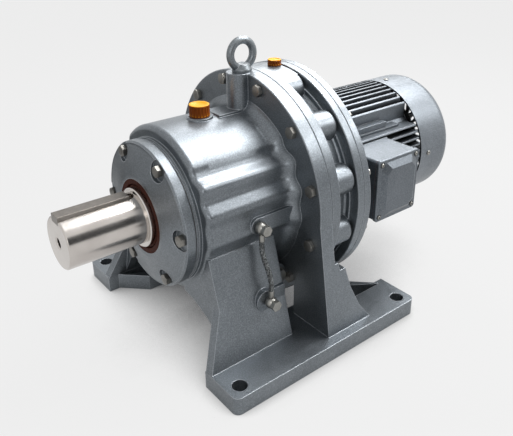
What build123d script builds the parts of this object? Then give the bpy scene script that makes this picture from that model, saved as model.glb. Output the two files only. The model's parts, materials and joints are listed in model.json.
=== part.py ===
from build123d import *
import os
from math import atan2, ceil, cos, degrees, hypot, pi, radians, sin, sqrt

# Foot-mounted cycloidal gearmotor, in millimetres.
# +X runs along the output shaft, out of the gear housing; +Z is up; +Y is the terminal-box side.
# The origin is the centre of the four foot holes, on the underside of the base.

os.makedirs("parts", exist_ok=True)

# Clearances
FIT = 0.05              # radial, rings and spigots on their seats
RUNNING = 0.08          # radial, seal lips on a turning shaft
LOOSE = 0.3             # radial, moving pieces past fixed ones
HOLE_ROOM = 0.5         # radial, bolts in through holes
THREAD_ROOM = 0.15      # radial, screws in tapped holes

# Shaft line and base
axis_z = 250.0
base_length = 430.0
base_width = 530.0
foot_pitch_x = 380.0
foot_pitch_y = 480.0
foot_hole_dia = 26.0
base_thick = 33.0
base_corner = 12.0
rail_width = 87.0
rail_end = 22.0
web_half_gap = 132.0
web_reach = 147.0
web_thick = 16.0

# Output shaft and key
shaft_dia = 90.0
shaft_end_length = 135.0
shaft_shoulder_x = 226.0
shoulder_dia = 105.0
shaft_chamfer = 2.0
centre_hole_dia = 17.5
centre_hole_depth = 50.0
centre_hole_chamfer = 2.0
key_width = 25.0
key_height = 14.0
key_depth = 9.0
key_length = 122.0

# Output bearings
bearing_bore = 110.0
bearing_outer = 200.0
bearing_width = 38.0
bearing_race = 13.5
bearing_rollers = 14
front_bearing_x = 140.0
rear_bearing_x = 10.0
bearing_spacer_wall = 7.0

# Barrel of the gear housing
barrel_front_x = 176.0
barrel_radius = 145.5
barrel_wall = 17.0
barrel_shoulder = 9.0
crown_radius = 150.5
crown_half_angle = 42.0
crown_fade = 5.0
ridges = ((32.0, 157.0), (14.5, 153.5), (-4.0, 150.5))
ridge_half_angle = 8.9
outline_step = 2.5
flange_blend = 22.0
flange_root = 8.0
nose_ring_radius = 130.0
nose_ring_length = 9.0
nose_step = 3.0

# Big flange and its bolts
flange_radius = 216.0
flange_front_x = -2.0
flange_thick = 27.0
flange_edge = 1.2
carrier_room_radius = 125.0
bolt_circle_radius = 199.0
bolt_count = 12
bolt_first_angle = 15.0
bolt_dia = 12.0
bolt_across_flats = 19.0
bolt_head = 8.0
bolt_reach = 74.0

# Legs
leg_rear_x = 40.0
leg_wall = 18.0
leg_top_y = 142.5
leg_top_z = 212.0
leg_foot_y = 195.5
flare_top_z = 127.0
flare_reach = 38.0
arch_points = ((150.0, 79.0), (126.0, 95.0), (89.0, 109.0), (60.0, 114.0))
rear_plate_top_y = 214.0
rear_plate_foot_y = 246.0
rear_plate_inner_y = 150.0
rear_rib_wall = 20.0
rear_rib_top = 165.0
rear_rib_ledge_z = 150.0
rear_rib_ledge = 24.0
rear_rib_reach = 77.0

# Front cover
gasket_thick = 2.0
cover_thick = 20.0
cover_radius = 130.0
cover_boss_radius = 73.0
cover_flat_radius = 124.0
cover_boss_rise = 11.0
cover_edge = 3.0
cover_bolt_circle = 116.0
cover_bolts = 6
cover_bolt_dia = 12.0
cover_bolt_flats = 18.0
cover_bolt_head = 9.0
spotface_radius = 18.5
spotface_depth = 2.5
seal_radius = 66.7
seal_width = 13.0
seal_groove = 5.0

# Ring housing with its pins
ring_length = 63.0
ring_rim = 20.0
ring_waist_radius = 189.0
ring_lip_radius = 200.0
ring_lip = 6.0
ring_lip_bevel = 2.5
ring_bore_radius = 175.0
pin_lip_radius = 150.0
pin_lip = 8.0
boss_radius = 28.0
boss_inset = 1.0
boss_end_gap = 3.0
boss_end_round = 6.0
boss_seam_angle = 17.0
ring_pin_circle = 160.0
ring_pin_count = 12
ring_pin_dia = 16.0
ring_roller_dia = 24.0
ring_pin_seat = 7.0

# Cycloid discs
eccentricity = 7.0
disc_thick = 18.0
disc_gap = 3.0
disc_front_gap = 4.0
disc_bore_radius = 52.0
mesh_gap = 0.3
points_per_lobe = 12

# Output pins
carrier_radius = 120.0
carrier_thick = 30.0
carrier_x = -3.0
output_pin_circle = 95.0
output_pin_count = 8
output_pin_dia = 24.0
output_roller_dia = 34.0
output_pin_reach = 53.0
pilot_bore_radius = 26.0
pilot_depth = 21.0

# Motor flanges
adaptor_thick = 16.0
motor_flange_thick = 16.0
input_seal_radius = 34.0
input_seal_width = 10.0
adaptor_spigot_radius = 140.0
adaptor_spigot = 5.0
adaptor_screws = 6
adaptor_screw_circle = 182.0
adaptor_screw_dia = 8.0
adaptor_screw_head = 8.0
adaptor_screw_grip = 16.0
motor_screw_count = 12
motor_screw_circle = 206.0
motor_screw_dia = 8.0
motor_screw_flats = 13.0
motor_screw_head = 6.0

# Motor
frame_length = 243.0
frame_bore_radius = 98.0
frame_wall = 10.0
fin_radius = 131.0
fin_thick = 3.0
fin_pitch = 13.0
fins_upright = 6
fins_level = 5
fin_rear_gap = 1.0
fin_front_gap = 8.0
plate_seat = (70.0, 100.0, 72.0, 84.0)
spigot = 9.0
stator_bore_radius = 51.0
stator_length = 120.0
stator_front_gap = 60.0
winding_overhang = 24.0
winding_wall = 24.0
rotor_gap = 0.6
motor_bearing_bore = 40.0
motor_bearing_outer = 80.0
motor_bearing_width = 18.0
motor_ball_dia = 12.6
motor_balls = 8
motor_core_seat = 48.0
fan_seat_dia = 32.0
rear_shield_thick = 8.0
shield_hub_radius = 50.0

# Fan and cowl
cowl_radius = 131.0
cowl_wall = 3.0
cowl_front_gap = 4.0
cowl_length = 101.0
cowl_round = 25.0
cowl_screw_back = 24.0
fan_radius = 104.0
fan_hub_radius = 28.0
fan_blades = 8
fan_blade_thick = 3.0
fan_width = 40.0
fan_front_gap = 14.0
grille_slots = 20
grille_inner = 34.0
grille_outer = 94.0
grille_slot = 6.0

# Terminal box
box_centre_x = -218.0
box_length = 110.0
box_height = 122.0
box_outer_y = 188.0
box_depth = 70.0
box_room = 4.0
box_wall = 6.0
box_corner = 6.0
box_gasket = 2.0
lid_thick = 7.0
lid_overlap = 1.5
lid_panel_rise = 8.0
lid_panel_inset = 26.0
lid_panel_cut = 14.0
lid_screw_inset = 8.0
lid_screw_dia = 5.0
lid_screw_head = 8.0

# Lifting eye, plugs and bosses on top
top_pad_rise = 2.5
top_pad_half = 22.0
top_pad_reach = 62.0
filler_x = 88.0
filler_dia = 36.0
filler_height = 21.0
filler_boss_radius = 23.0
lift_boss_x = 4.0
lift_boss_radius = 21.5
eye_x = -5.0
eye_outer_dia = 63.0
eye_inner_dia = 35.0
eye_total_height = 62.0
eye_collar_dia = 35.0
eye_collar_height = 12.0
eye_shank_dia = 16.0
eye_shank_length = 27.0
vent_x = -79.0
vent_dia = 25.0
vent_height = 11.0

# Oil gauge and drain
gauge_x = 80.0
gauge_top_z = 247.0
gauge_low_z = 113.0
gauge_boss_radius = 14.5
gauge_low_boss_radius = 20.0
gauge_boss_y = 152.0
gauge_low_boss_y = 177.0
gauge_bolt_dia = 10.0
gauge_bolt_flats = 17.0
gauge_bolt_head = 8.0
banjo_radius = 11.0
banjo_width = 17.0
gauge_stem_dia = 7.0
gauge_collar_dia = 10.0
gauge_stem_length = 24.0
gauge_nipple = 8.0
gauge_tube_dia = 9.0
gauge_tube_wall = 1.5
drain_x = 20.0
drain_z = 118.0
drain_boss_radius = 19.0
drain_boss_y = 128.0
drain_plug_flats = 22.0
drain_plug_head = 12.0
drain_plug_dia = 20.0

# Places worked out from the sizes above
shaft_tip_x = shaft_shoulder_x + shaft_end_length
nose_x = barrel_front_x + nose_ring_length
cover_back_x = nose_x + gasket_thick
cover_face_x = cover_back_x + cover_thick
cover_boss_x = cover_face_x + cover_boss_rise
flange_back_x = flange_front_x - flange_thick
ring_back_x = flange_back_x - ring_length
adaptor_back_x = ring_back_x - adaptor_thick
motor_flange_back_x = adaptor_back_x - motor_flange_thick
frame_back_x = motor_flange_back_x - frame_length
shield_back_x = frame_back_x - rear_shield_thick
cowl_front_x = frame_back_x - cowl_front_gap
cowl_back_x = cowl_front_x - cowl_length
disc_front_x = flange_back_x - pin_lip - disc_front_gap
disc_rear_x = disc_front_x - disc_thick - disc_gap
disc_end_x = disc_rear_x - disc_thick
bearing_pitch_radius = (bearing_bore + bearing_outer) / 4
bearing_roller_radius = bearing_pitch_radius - bearing_bore / 2 - bearing_race - LOOSE
disc_pin_hole = output_roller_dia / 2 + eccentricity + LOOSE
top_pad_z = axis_z + crown_radius + top_pad_rise
lift_boss_z = axis_z + flange_radius
half_base_x = base_length / 2
half_base_y = base_width / 2
rail_inner_y = half_base_y - rail_width
leg_front_x = barrel_front_x - 1.0
leg_slope = (leg_foot_y - leg_top_y) / (leg_top_z - base_thick)
stator_front_x = motor_flange_back_x - stator_front_gap
stator_back_x = stator_front_x - stator_length
front_motor_bearing_x = motor_flange_back_x - 4.0
rear_motor_bearing_x = frame_back_x + motor_bearing_width - 4.0
frame_outer_radius = frame_bore_radius + frame_wall
fan_front_x = cowl_front_x - fan_front_gap
fan_back_x = fan_front_x - fan_width

UPRIGHT = (Align.CENTER, Align.CENTER, Align.MIN)
shaft_axis = Axis((0, 0, axis_z), (1, 0, 0))
lathe_plane = Plane(origin=(0, 0, axis_z), x_dir=(1, 0, 0), z_dir=(0, -1, 0))


def facing_x(x, y=0.0, z=axis_z):
    """Plane across the shaft line: its own axes are +Y and +Z, and it faces +X."""
    return Plane(origin=(x, y, z), x_dir=(0, 1, 0), z_dir=(1, 0, 0))


def facing_y(y, x=0.0, z=0.0):
    """Plane that faces +Y; its own axes are -X and +Z."""
    return Plane(origin=(x, y, z), x_dir=(-1, 0, 0), z_dir=(0, 1, 0))


def lathe(points, arc=360.0):
    """Solid turned about the shaft line from (x, radius) points."""
    return revolve(lathe_plane * make_face(Polyline(*points, close=True)), shaft_axis, arc)


def ring(x_low, x_high, outer, inner):
    """Plain ring about the shaft line."""
    sketch = Circle(outer) - Circle(inner)
    return extrude(facing_x(x_low) * sketch, x_high - x_low)


def bar_x(x_low, x_high, radius, y=0.0, z=axis_z):
    """Round bar along X."""
    return extrude(facing_x(x_low, y, z) * Circle(radius), x_high - x_low)


def bar_y(y_low, y_high, radius, x, z):
    """Round bar along Y."""
    return extrude(facing_y(y_low, x, z) * Circle(radius), y_high - y_low)


def bar_z(z_low, z_high, radius, x, y=0.0):
    """Round bar along Z."""
    return extrude(Pos(x, y, z_low) * Circle(radius), z_high - z_low)


def block(x_low, x_high, y_low, y_high, z_low, z_high):
    """Plain block between two corners."""
    size = (x_high - x_low, y_high - y_low, z_high - z_low)
    middle = ((x_low + x_high) / 2, (y_low + y_high) / 2, (z_low + z_high) / 2)
    return Pos(*middle) * Box(*size)


def prism_x(points, x_low, x_high):
    """Solid with a (y, z) outline between two x values."""
    return extrude(facing_x(x_low, 0, 0) * make_face(Polyline(*points, close=True)), x_high - x_low)


def prism_y(points, y_low, y_high):
    """Solid with an (x, z) outline between two y values."""
    plane = Plane(origin=(0, y_high, 0), x_dir=(1, 0, 0), z_dir=(0, -1, 0))
    return extrude(plane * make_face(Polyline(*points, close=True)), y_high - y_low)


def prism_z(points, z_low, z_high):
    """Solid with an (x, y) outline between two heights."""
    return extrude(Pos(0, 0, z_low) * make_face(Polyline(*points, close=True)), z_high - z_low)


def around(count, radius, first_angle=0.0):
    """Places evenly round the shaft line, for a piece that is drawn on the X axis."""
    step = 360.0 / count
    return [at_angle(first_angle + step * i, radius) for i in range(count)]


def at_angle(angle, radius):
    """Place at one angle from +Y round the shaft line, for a piece drawn on the X axis."""
    return Pos(0, 0, axis_z) * Rot(angle, 0, 0) * Pos(0, radius, 0)


def both_sides(solid):
    """A solid and its mirror image across the XZ plane."""
    return solid + mirror(solid, Plane.XZ)


def group(solids):
    """Several separate solids as one node."""
    return Compound(children=[item for solid in solids for item in solid.solids()])


def hex_screw(flats, head, shank_dia, shank_length):
    """Hexagon screw on the X axis: the seat of its head at x = 0, its shank towards -X."""
    plane = Plane(origin=(0, 0, 0), x_dir=(0, 1, 0), z_dir=(1, 0, 0))
    body = extrude(plane * RegularPolygon(flats / 2, 6, major_radius=False), head)
    dome_plane = Plane(origin=(0, 0, 0), x_dir=(1, 0, 0), z_dir=(0, -1, 0))
    corner = flats / sqrt(3)
    chamfer_x = (corner - flats / 2) / sqrt(3)
    dome = [(0, 0), (head, 0), (head, flats / 2), (head - chamfer_x, corner + 0.01), (0, corner + 0.01)]
    turned = revolve(dome_plane * make_face(Polyline(*dome, close=True)), Axis.X)
    shank = extrude(Plane(origin=(-shank_length, 0, 0), x_dir=(0, 1, 0), z_dir=(1, 0, 0))
                    * Circle(shank_dia / 2), shank_length)
    return (body & turned) + shank


def save(name, solid):
    """Writes one node."""
    export_step(solid, f"parts/{name}.step")


def eased(share):
    """Share from 0 to 1 that starts and ends without a kink."""
    return (1 - cos(pi * min(1.0, max(0.0, share)))) / 2


def barrel_reach(angle):
    """Radius of the barrel at an angle from +Y: round crown, three ridges on each flank, plain underneath."""
    from_top = abs((angle + 90) % 360 - 180)
    crown_share = (crown_half_angle + crown_fade - from_top) / crown_fade
    reach = barrel_radius + (crown_radius - barrel_radius) * eased(crown_share)
    for centre, top in ridges:
        away = abs(90 - from_top - centre)
        if away < ridge_half_angle:
            reach = max(reach, barrel_radius + (top - barrel_radius) * eased(1 - away / ridge_half_angle))
    return reach


def barrel_section(x, grow):
    """Face across the barrel at one place, grown outwards by a distance."""
    points = []
    for i in range(round(360 / outline_step)):
        angle = outline_step * i - 180
        reach = barrel_reach(angle) + grow
        points.append((reach * cos(radians(angle)), reach * sin(radians(angle))))
    return facing_x(x) * make_face(Spline(*points, periodic=True))


def barrel_casting():
    """Ridged barrel that flares into the big flange and rounds off at its front."""
    flare = []
    for turn in (10.0, 30.0, 50.0, 70.0, 90.0):
        x = flange_front_x + flange_blend * (1 - cos(radians(turn)))
        flare.append(barrel_section(x, flange_blend * (1 - sin(radians(turn)))))
    shoulder_x = barrel_front_x - barrel_shoulder
    nose = []
    for turn in (0.0, 30.0, 60.0, 90.0):
        x = shoulder_x + barrel_shoulder * sin(radians(turn))
        nose.append(barrel_section(x, barrel_shoulder * (cos(radians(turn)) - 1)))
    straight_x = flange_front_x + flange_blend
    straight = extrude(barrel_section(straight_x, 0), shoulder_x - straight_x)
    root = extrude(flare[0], -flange_root)
    return root + loft(flare) + straight + loft(nose)


def leg_outer_y(z):
    """Outer face of the front legs at a height."""
    return leg_foot_y - leg_slope * (z - base_thick)


def rear_outer_y(z):
    """Outer edge of the rear leg plate at a height."""
    share = (z - base_thick) / (axis_z - base_thick)
    return rear_plate_foot_y + (rear_plate_top_y - rear_plate_foot_y) * share


def base_rail():
    """Foot rail on the +Y side with its inner web, holes and cast pockets."""
    outline = (
        (half_base_x, half_base_y), (half_base_x, rail_inner_y), (half_base_x - rail_end, rail_inner_y),
        (web_reach, web_half_gap), (-web_reach, web_half_gap), (rail_end - half_base_x, rail_inner_y),
        (-half_base_x, rail_inner_y), (-half_base_x, half_base_y),
    )
    rail = prism_z(outline, 0, base_thick)
    corners = rail.edges().filter_by(Axis.Z).filter_by(lambda edge: edge.center().Y > half_base_y - 1)
    rail = fillet(corners, base_corner)
    pocket_y = web_half_gap + web_thick
    front_pocket = (
        (web_reach - 6, pocket_y), (half_base_x - rail_end - 4, rail_inner_y - 1),
        (leg_rear_x + leg_wall, rail_inner_y - 1), (leg_rear_x + leg_wall, pocket_y),
    )
    rear_pocket = (
        (flange_back_x - 8, pocket_y), (flange_back_x - 8, rail_inner_y + 9),
        (rail_end - half_base_x - 6, rail_inner_y + 9), (6 - web_reach, pocket_y),
    )
    rail = rail - prism_z(front_pocket, -1, base_thick + 1) - prism_z(rear_pocket, -1, base_thick + 1)
    for side in (-1, 1):
        rail = rail - bar_z(-1, base_thick + 1, foot_hole_dia / 2, side * foot_pitch_x / 2, foot_pitch_y / 2)
    return rail


def front_leg():
    """Hollow front leg on the +Y side: inclined outer wall, two cross webs and the flared foot."""
    outer_top = (leg_outer_y(leg_top_z), leg_top_z)
    outer_foot = (leg_foot_y, base_thick)
    full = [outer_top, outer_foot, (rail_inner_y, base_thick), *arch_points, (60.0, 150.0), (110.0, leg_top_z)]
    wall = [outer_top, outer_foot, (leg_foot_y - leg_wall, base_thick), (outer_top[0] - leg_wall, leg_top_z)]
    leg = prism_x(wall, leg_rear_x, leg_front_x)
    leg += prism_x(full, leg_front_x - leg_wall, leg_front_x)
    leg += prism_x(full, leg_rear_x, leg_rear_x + leg_wall)
    flare_side = [
        (leg_front_x - 1, base_thick), (leg_front_x + flare_reach, base_thick),
        (leg_front_x, flare_top_z), (leg_front_x - 1, flare_top_z),
    ]
    flare = prism_y(flare_side, 0, half_base_y) & prism_x(wall, leg_front_x - 1, half_base_x)
    return leg + flare


def rear_leg():
    """Leg of the big flange on the +Y side with the rib that runs back along the rail."""
    plate = prism_x(
        [(rear_plate_inner_y, base_thick), (rear_plate_foot_y, base_thick),
         (rear_plate_top_y, axis_z), (rear_plate_inner_y, axis_z)],
        flange_back_x, flange_front_x,
    )
    back = flange_back_x
    side = [
        (back + 1, base_thick), (back + 1, rear_rib_top), (back - 8, rear_rib_top),
        (back - 11, rear_rib_ledge_z), (back - rear_rib_ledge, rear_rib_ledge_z),
        (back - rear_rib_ledge - 10, 110.0), (back - rear_rib_ledge - 28, 68.0),
        (back - rear_rib_reach, base_thick),
    ]
    wall_top = rear_outer_y(rear_rib_top)
    wall = [
        (rear_plate_foot_y - rear_rib_wall, base_thick), (rear_plate_foot_y, base_thick),
        (wall_top, rear_rib_top), (wall_top - rear_rib_wall, rear_rib_top),
    ]
    rib = prism_y(side, 0, half_base_y) & prism_x(wall, back - rear_rib_reach, back + 1)
    return plate + rib


def gauge_bosses():
    """Seats of the oil gauge: a long one on the barrel and a round one on the leg."""
    upper = bar_y(100, gauge_boss_y, gauge_boss_radius, gauge_x, gauge_top_z)
    upper += block(flange_front_x, gauge_x, 100, gauge_boss_y,
                   gauge_top_z - gauge_boss_radius, gauge_top_z + gauge_boss_radius)
    lower = bar_y(leg_outer_y(gauge_low_z) - leg_wall, gauge_low_boss_y, gauge_low_boss_radius,
                  gauge_x + 4, gauge_low_z)
    arm_half = gauge_low_boss_radius - 4
    lower += block(leg_rear_x, gauge_x, leg_outer_y(gauge_low_z) - leg_wall, gauge_low_boss_y - 3,
                   gauge_low_z - arm_half, gauge_low_z + arm_half)
    return upper + lower


def gear_housing():
    """Main casting: fluted barrel, big flange, legs, rails, bosses and bores."""
    edge = flange_edge
    body = barrel_casting()
    body += lathe([
        (flange_back_x, 0), (flange_back_x, flange_radius - edge), (flange_back_x + edge, flange_radius),
        (flange_front_x - edge, flange_radius), (flange_front_x, flange_radius - edge), (flange_front_x, 0),
    ])
    body += both_sides(rear_leg())
    body += both_sides(front_leg())
    body += both_sides(base_rail())
    body += ring(barrel_front_x - 1, nose_x - nose_step, nose_ring_radius, 10)
    body += ring(barrel_front_x - 1, nose_x, nose_ring_radius - nose_step, 10)
    body += block(flange_front_x, top_pad_reach, -top_pad_half, top_pad_half, axis_z, top_pad_z)
    body += bar_z(axis_z, top_pad_z, filler_boss_radius, filler_x)
    body += bar_z(axis_z, lift_boss_z, lift_boss_radius, lift_boss_x)
    body += gauge_bosses()
    body += bar_y(0, drain_boss_y, drain_boss_radius, drain_x, drain_z)
    return body - housing_cuts()


def housing_cuts():
    """Everything that is machined or cored out of the main casting."""
    bore = bearing_outer / 2 + FIT
    cuts = bar_x(front_bearing_x, nose_x + 1, bore)
    cuts += bar_x(rear_bearing_x, rear_bearing_x + bearing_width, bore)
    cuts += bar_x(rear_bearing_x - 4, nose_x, bearing_outer / 2 - 8)
    core_low = rear_bearing_x + bearing_width + 12
    cuts += bar_x(core_low, front_bearing_x - 12, barrel_radius - barrel_wall)
    cuts += bar_x(flange_back_x - 1, rear_bearing_x - 6, carrier_room_radius)
    cuts += bar_x(rear_bearing_x - 7, rear_bearing_x - 3, bearing_outer / 2 - 8)
    for place in around(bolt_count, bolt_circle_radius, bolt_first_angle):
        cuts += place * extrude(Plane(origin=(flange_back_x - 1, 0, 0), x_dir=(0, 1, 0), z_dir=(1, 0, 0))
                                * Circle(bolt_dia / 2 + HOLE_ROOM), flange_thick + 40)
    for place in around(cover_bolts, cover_bolt_circle):
        cuts += place * extrude(Plane(origin=(nose_x - 26, 0, 0), x_dir=(0, 1, 0), z_dir=(1, 0, 0))
                                * Circle(cover_bolt_dia / 2 + THREAD_ROOM), 27)
    cuts += bar_z(axis_z + barrel_radius - barrel_wall - 5, top_pad_z + 1, 13.0 + THREAD_ROOM, filler_x)
    cuts += bar_z(lift_boss_z - eye_shank_length - 3, lift_boss_z + 1, eye_shank_dia / 2 + THREAD_ROOM, eye_x)
    gauge_hole = gauge_bolt_dia / 2 + THREAD_ROOM
    cuts += bar_y(gauge_boss_y - 22, gauge_boss_y + 1, gauge_hole, gauge_x, gauge_top_z)
    cuts += bar_y(gauge_low_boss_y - 22, gauge_low_boss_y + 1, gauge_hole, gauge_x, gauge_low_z)
    cuts += bar_y(drain_boss_y - 24, drain_boss_y + 1, drain_plug_dia / 2 + THREAD_ROOM, drain_x, drain_z)
    return cuts


def front_cover():
    """Cast cover that holds the front bearing and the seal, with spot-faced bolt seats."""
    spigot_radius = bearing_outer / 2 - FIT
    front_bearing_end = front_bearing_x + bearing_width
    profile = [
        (front_bearing_end, shoulder_dia / 2 + 24), (front_bearing_end, spigot_radius),
        (cover_back_x, spigot_radius), (cover_back_x, cover_radius - 1.5), (cover_back_x + 1.5, cover_radius),
        (cover_face_x - cover_edge, cover_radius), (cover_face_x, cover_radius - cover_edge),
        (cover_face_x, cover_flat_radius), (cover_boss_x, cover_boss_radius), (cover_boss_x, seal_radius + FIT),
        (cover_boss_x - seal_width, seal_radius + FIT), (cover_boss_x - seal_width, shoulder_dia / 2 + 4),
        (cover_back_x - 2, shoulder_dia / 2 + 4), (cover_back_x - 2, shoulder_dia / 2 + 24),
    ]
    cover = lathe(profile)
    for place in around(cover_bolts, cover_bolt_circle):
        plane = Plane(origin=(cover_back_x - 1, 0, 0), x_dir=(0, 1, 0), z_dir=(1, 0, 0))
        seat = Plane(origin=(cover_face_x - spotface_depth, 0, 0), x_dir=(0, 1, 0), z_dir=(1, 0, 0))
        cover -= place * extrude(plane * Circle(cover_bolt_dia / 2 + HOLE_ROOM), cover_thick + 2)
        cover -= place * extrude(seat * Circle(spotface_radius), spotface_depth + cover_boss_rise + 1)
    return cover


def cover_gasket():
    """Flat paper gasket between the housing and the front cover."""
    gasket = ring(nose_x, cover_back_x, nose_ring_radius - nose_step, bearing_outer / 2 + 1)
    for place in around(cover_bolts, cover_bolt_circle):
        plane = Plane(origin=(nose_x - 1, 0, 0), x_dir=(0, 1, 0), z_dir=(1, 0, 0))
        gasket -= place * extrude(plane * Circle(cover_bolt_dia / 2 + HOLE_ROOM), gasket_thick + 2)
    return gasket


def output_oil_seal():
    """Rubber shaft seal with its open lip groove."""
    inner = shoulder_dia / 2 + RUNNING
    x_low = cover_boss_x - seal_width
    x_high = cover_boss_x - 0.5
    profile = [
        (x_low, inner + 4), (x_low, seal_radius - 0.2), (x_high, seal_radius - 0.2), (x_high, inner + seal_groove),
        (x_high - 6, inner + seal_groove - 1), (x_high - 6, inner + 2), (x_high - 1.5, inner + 2),
        (x_high - 1.5, inner), (x_high - 4, inner), (x_high - 8, inner + 4),
    ]
    return lathe(profile)


def output_shaft():
    """Output shaft in one piece with the carrier that holds the output pins."""
    seat = bearing_bore / 2 - FIT
    front_bearing_end = front_bearing_x + bearing_width
    spacer_low = rear_bearing_x + bearing_width
    core = bearing_bore / 2 - 4
    profile = [
        (shaft_tip_x, 0), (shaft_tip_x, shaft_dia / 2 - shaft_chamfer), (shaft_tip_x - shaft_chamfer, shaft_dia / 2),
        (shaft_shoulder_x, shaft_dia / 2), (shaft_shoulder_x, shoulder_dia / 2 - 1.5),
        (shaft_shoulder_x - 1.5, shoulder_dia / 2), (front_bearing_end, shoulder_dia / 2),
        (front_bearing_end, seat), (front_bearing_x, seat), (front_bearing_x, core), (spacer_low, core),
        (spacer_low, seat), (rear_bearing_x, seat), (rear_bearing_x, seat + 10), (carrier_x, seat + 10),
        (carrier_x, carrier_radius), (carrier_x - carrier_thick, carrier_radius),
        (carrier_x - carrier_thick, pilot_bore_radius), (carrier_x - carrier_thick + pilot_depth, pilot_bore_radius),
        (carrier_x - carrier_thick + pilot_depth, 0),
    ]
    shaft = lathe(profile)
    shaft -= bar_x(shaft_tip_x - centre_hole_depth, shaft_tip_x + 1, centre_hole_dia / 2)
    mouth = centre_hole_dia / 2 + centre_hole_chamfer
    shaft -= lathe([(shaft_tip_x - centre_hole_chamfer, 0), (shaft_tip_x - centre_hole_chamfer, centre_hole_dia / 2),
                    (shaft_tip_x, mouth), (shaft_tip_x + 1, mouth), (shaft_tip_x + 1, 0)])
    key_floor = axis_z + shaft_dia / 2 - key_depth
    keyway = block(shaft_tip_x - key_length, shaft_tip_x + 1, -key_width / 2, key_width / 2,
                   key_floor, key_floor + 2 * key_height)
    keyway += bar_z(key_floor, key_floor + 2 * key_height, key_width / 2, shaft_tip_x - key_length)
    shaft -= keyway
    for place in around(output_pin_count, output_pin_circle):
        plane = Plane(origin=(carrier_x - carrier_thick - 1, 0, 0), x_dir=(0, 1, 0), z_dir=(1, 0, 0))
        shaft -= place * extrude(plane * Circle(output_pin_dia / 2 + FIT), carrier_thick - 4)
    return shaft


def output_key():
    """Parallel key, flush with the end of the shaft."""
    floor = axis_z + shaft_dia / 2 - key_depth
    half = key_width / 2 - FIT
    key = block(shaft_tip_x - key_length, shaft_tip_x, -half, half, floor, floor + key_height)
    top_edges = key.edges().filter_by(Axis.X).filter_by(lambda edge: edge.center().Z > floor + key_height - 1)
    return chamfer(top_edges, 1.0)


def output_pins():
    """Pins of the carrier that pass through the two discs."""
    x_high = carrier_x - 6
    x_low = carrier_x - carrier_thick - output_pin_reach
    pin = extrude(Plane(origin=(x_low, 0, 0), x_dir=(0, 1, 0), z_dir=(1, 0, 0))
                  * Circle(output_pin_dia / 2), x_high - x_low)
    return group([place * pin for place in around(output_pin_count, output_pin_circle)])


def output_pin_rollers():
    """Sleeves that roll between the output pins and the holes of the discs."""
    x_high = carrier_x - carrier_thick - 1
    x_low = disc_end_x - 2
    sketch = Circle(output_roller_dia / 2) - Circle(output_pin_dia / 2 + FIT)
    sleeve = extrude(Plane(origin=(x_low, 0, 0), x_dir=(0, 1, 0), z_dir=(1, 0, 0)) * sketch, x_high - x_low)
    return group([place * sleeve for place in around(output_pin_count, output_pin_circle)])


def bearing_rings(x_low, bore, outer, width, race):
    """Outer and inner ring of a bearing."""
    outer_ring = ring(x_low, x_low + width, outer / 2, outer / 2 - race)
    inner_ring = ring(x_low, x_low + width, bore / 2 + race, bore / 2)
    return outer_ring, inner_ring


def bearing_roller_set(x_low):
    """Cylindrical rollers of one output bearing."""
    length = bearing_width - 8
    roller = extrude(Plane(origin=(x_low + 4, 0, 0), x_dir=(0, 1, 0), z_dir=(1, 0, 0))
                     * Circle(bearing_roller_radius), length)
    return group([place * roller for place in around(bearing_rollers, bearing_pitch_radius)])


def cycloid_point(t, offset_radius):
    """Point of the disc outline: the curve that stays one radius away from every ring pin."""
    n = ring_pin_count
    turn = atan2(sin((1 - n) * t), ring_pin_circle / (eccentricity * n) - cos((1 - n) * t))
    u = ring_pin_circle * cos(t) - offset_radius * cos(t + turn) - eccentricity * cos(n * t)
    v = -ring_pin_circle * sin(t) + offset_radius * sin(t + turn) + eccentricity * sin(n * t)
    return (u, v)


def cycloid_disc(x_high, turn):
    """Cycloid disc with its pin holes, seated on the eccentric that points to one angle."""
    lobes = ring_pin_count - 1
    steps = lobes * points_per_lobe
    offset_radius = ring_roller_dia / 2 + mesh_gap
    outline = Spline(*[cycloid_point(2 * pi * i / steps, offset_radius) for i in range(steps)], periodic=True)
    sketch = make_face(outline) - Circle(disc_bore_radius)
    for i in range(output_pin_count):
        angle = radians(360.0 / output_pin_count * i)
        place = Pos(output_pin_circle * cos(angle), output_pin_circle * sin(angle))
        sketch -= place * Circle(disc_pin_hole)
    plane = Plane(origin=(x_high - disc_thick, 0, 0), x_dir=(0, 1, 0), z_dir=(1, 0, 0))
    disc = extrude(plane * sketch, disc_thick)
    return Pos(0, 0, axis_z) * Rot(turn, 0, 0) * Pos(0, eccentricity, 0) * disc


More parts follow.
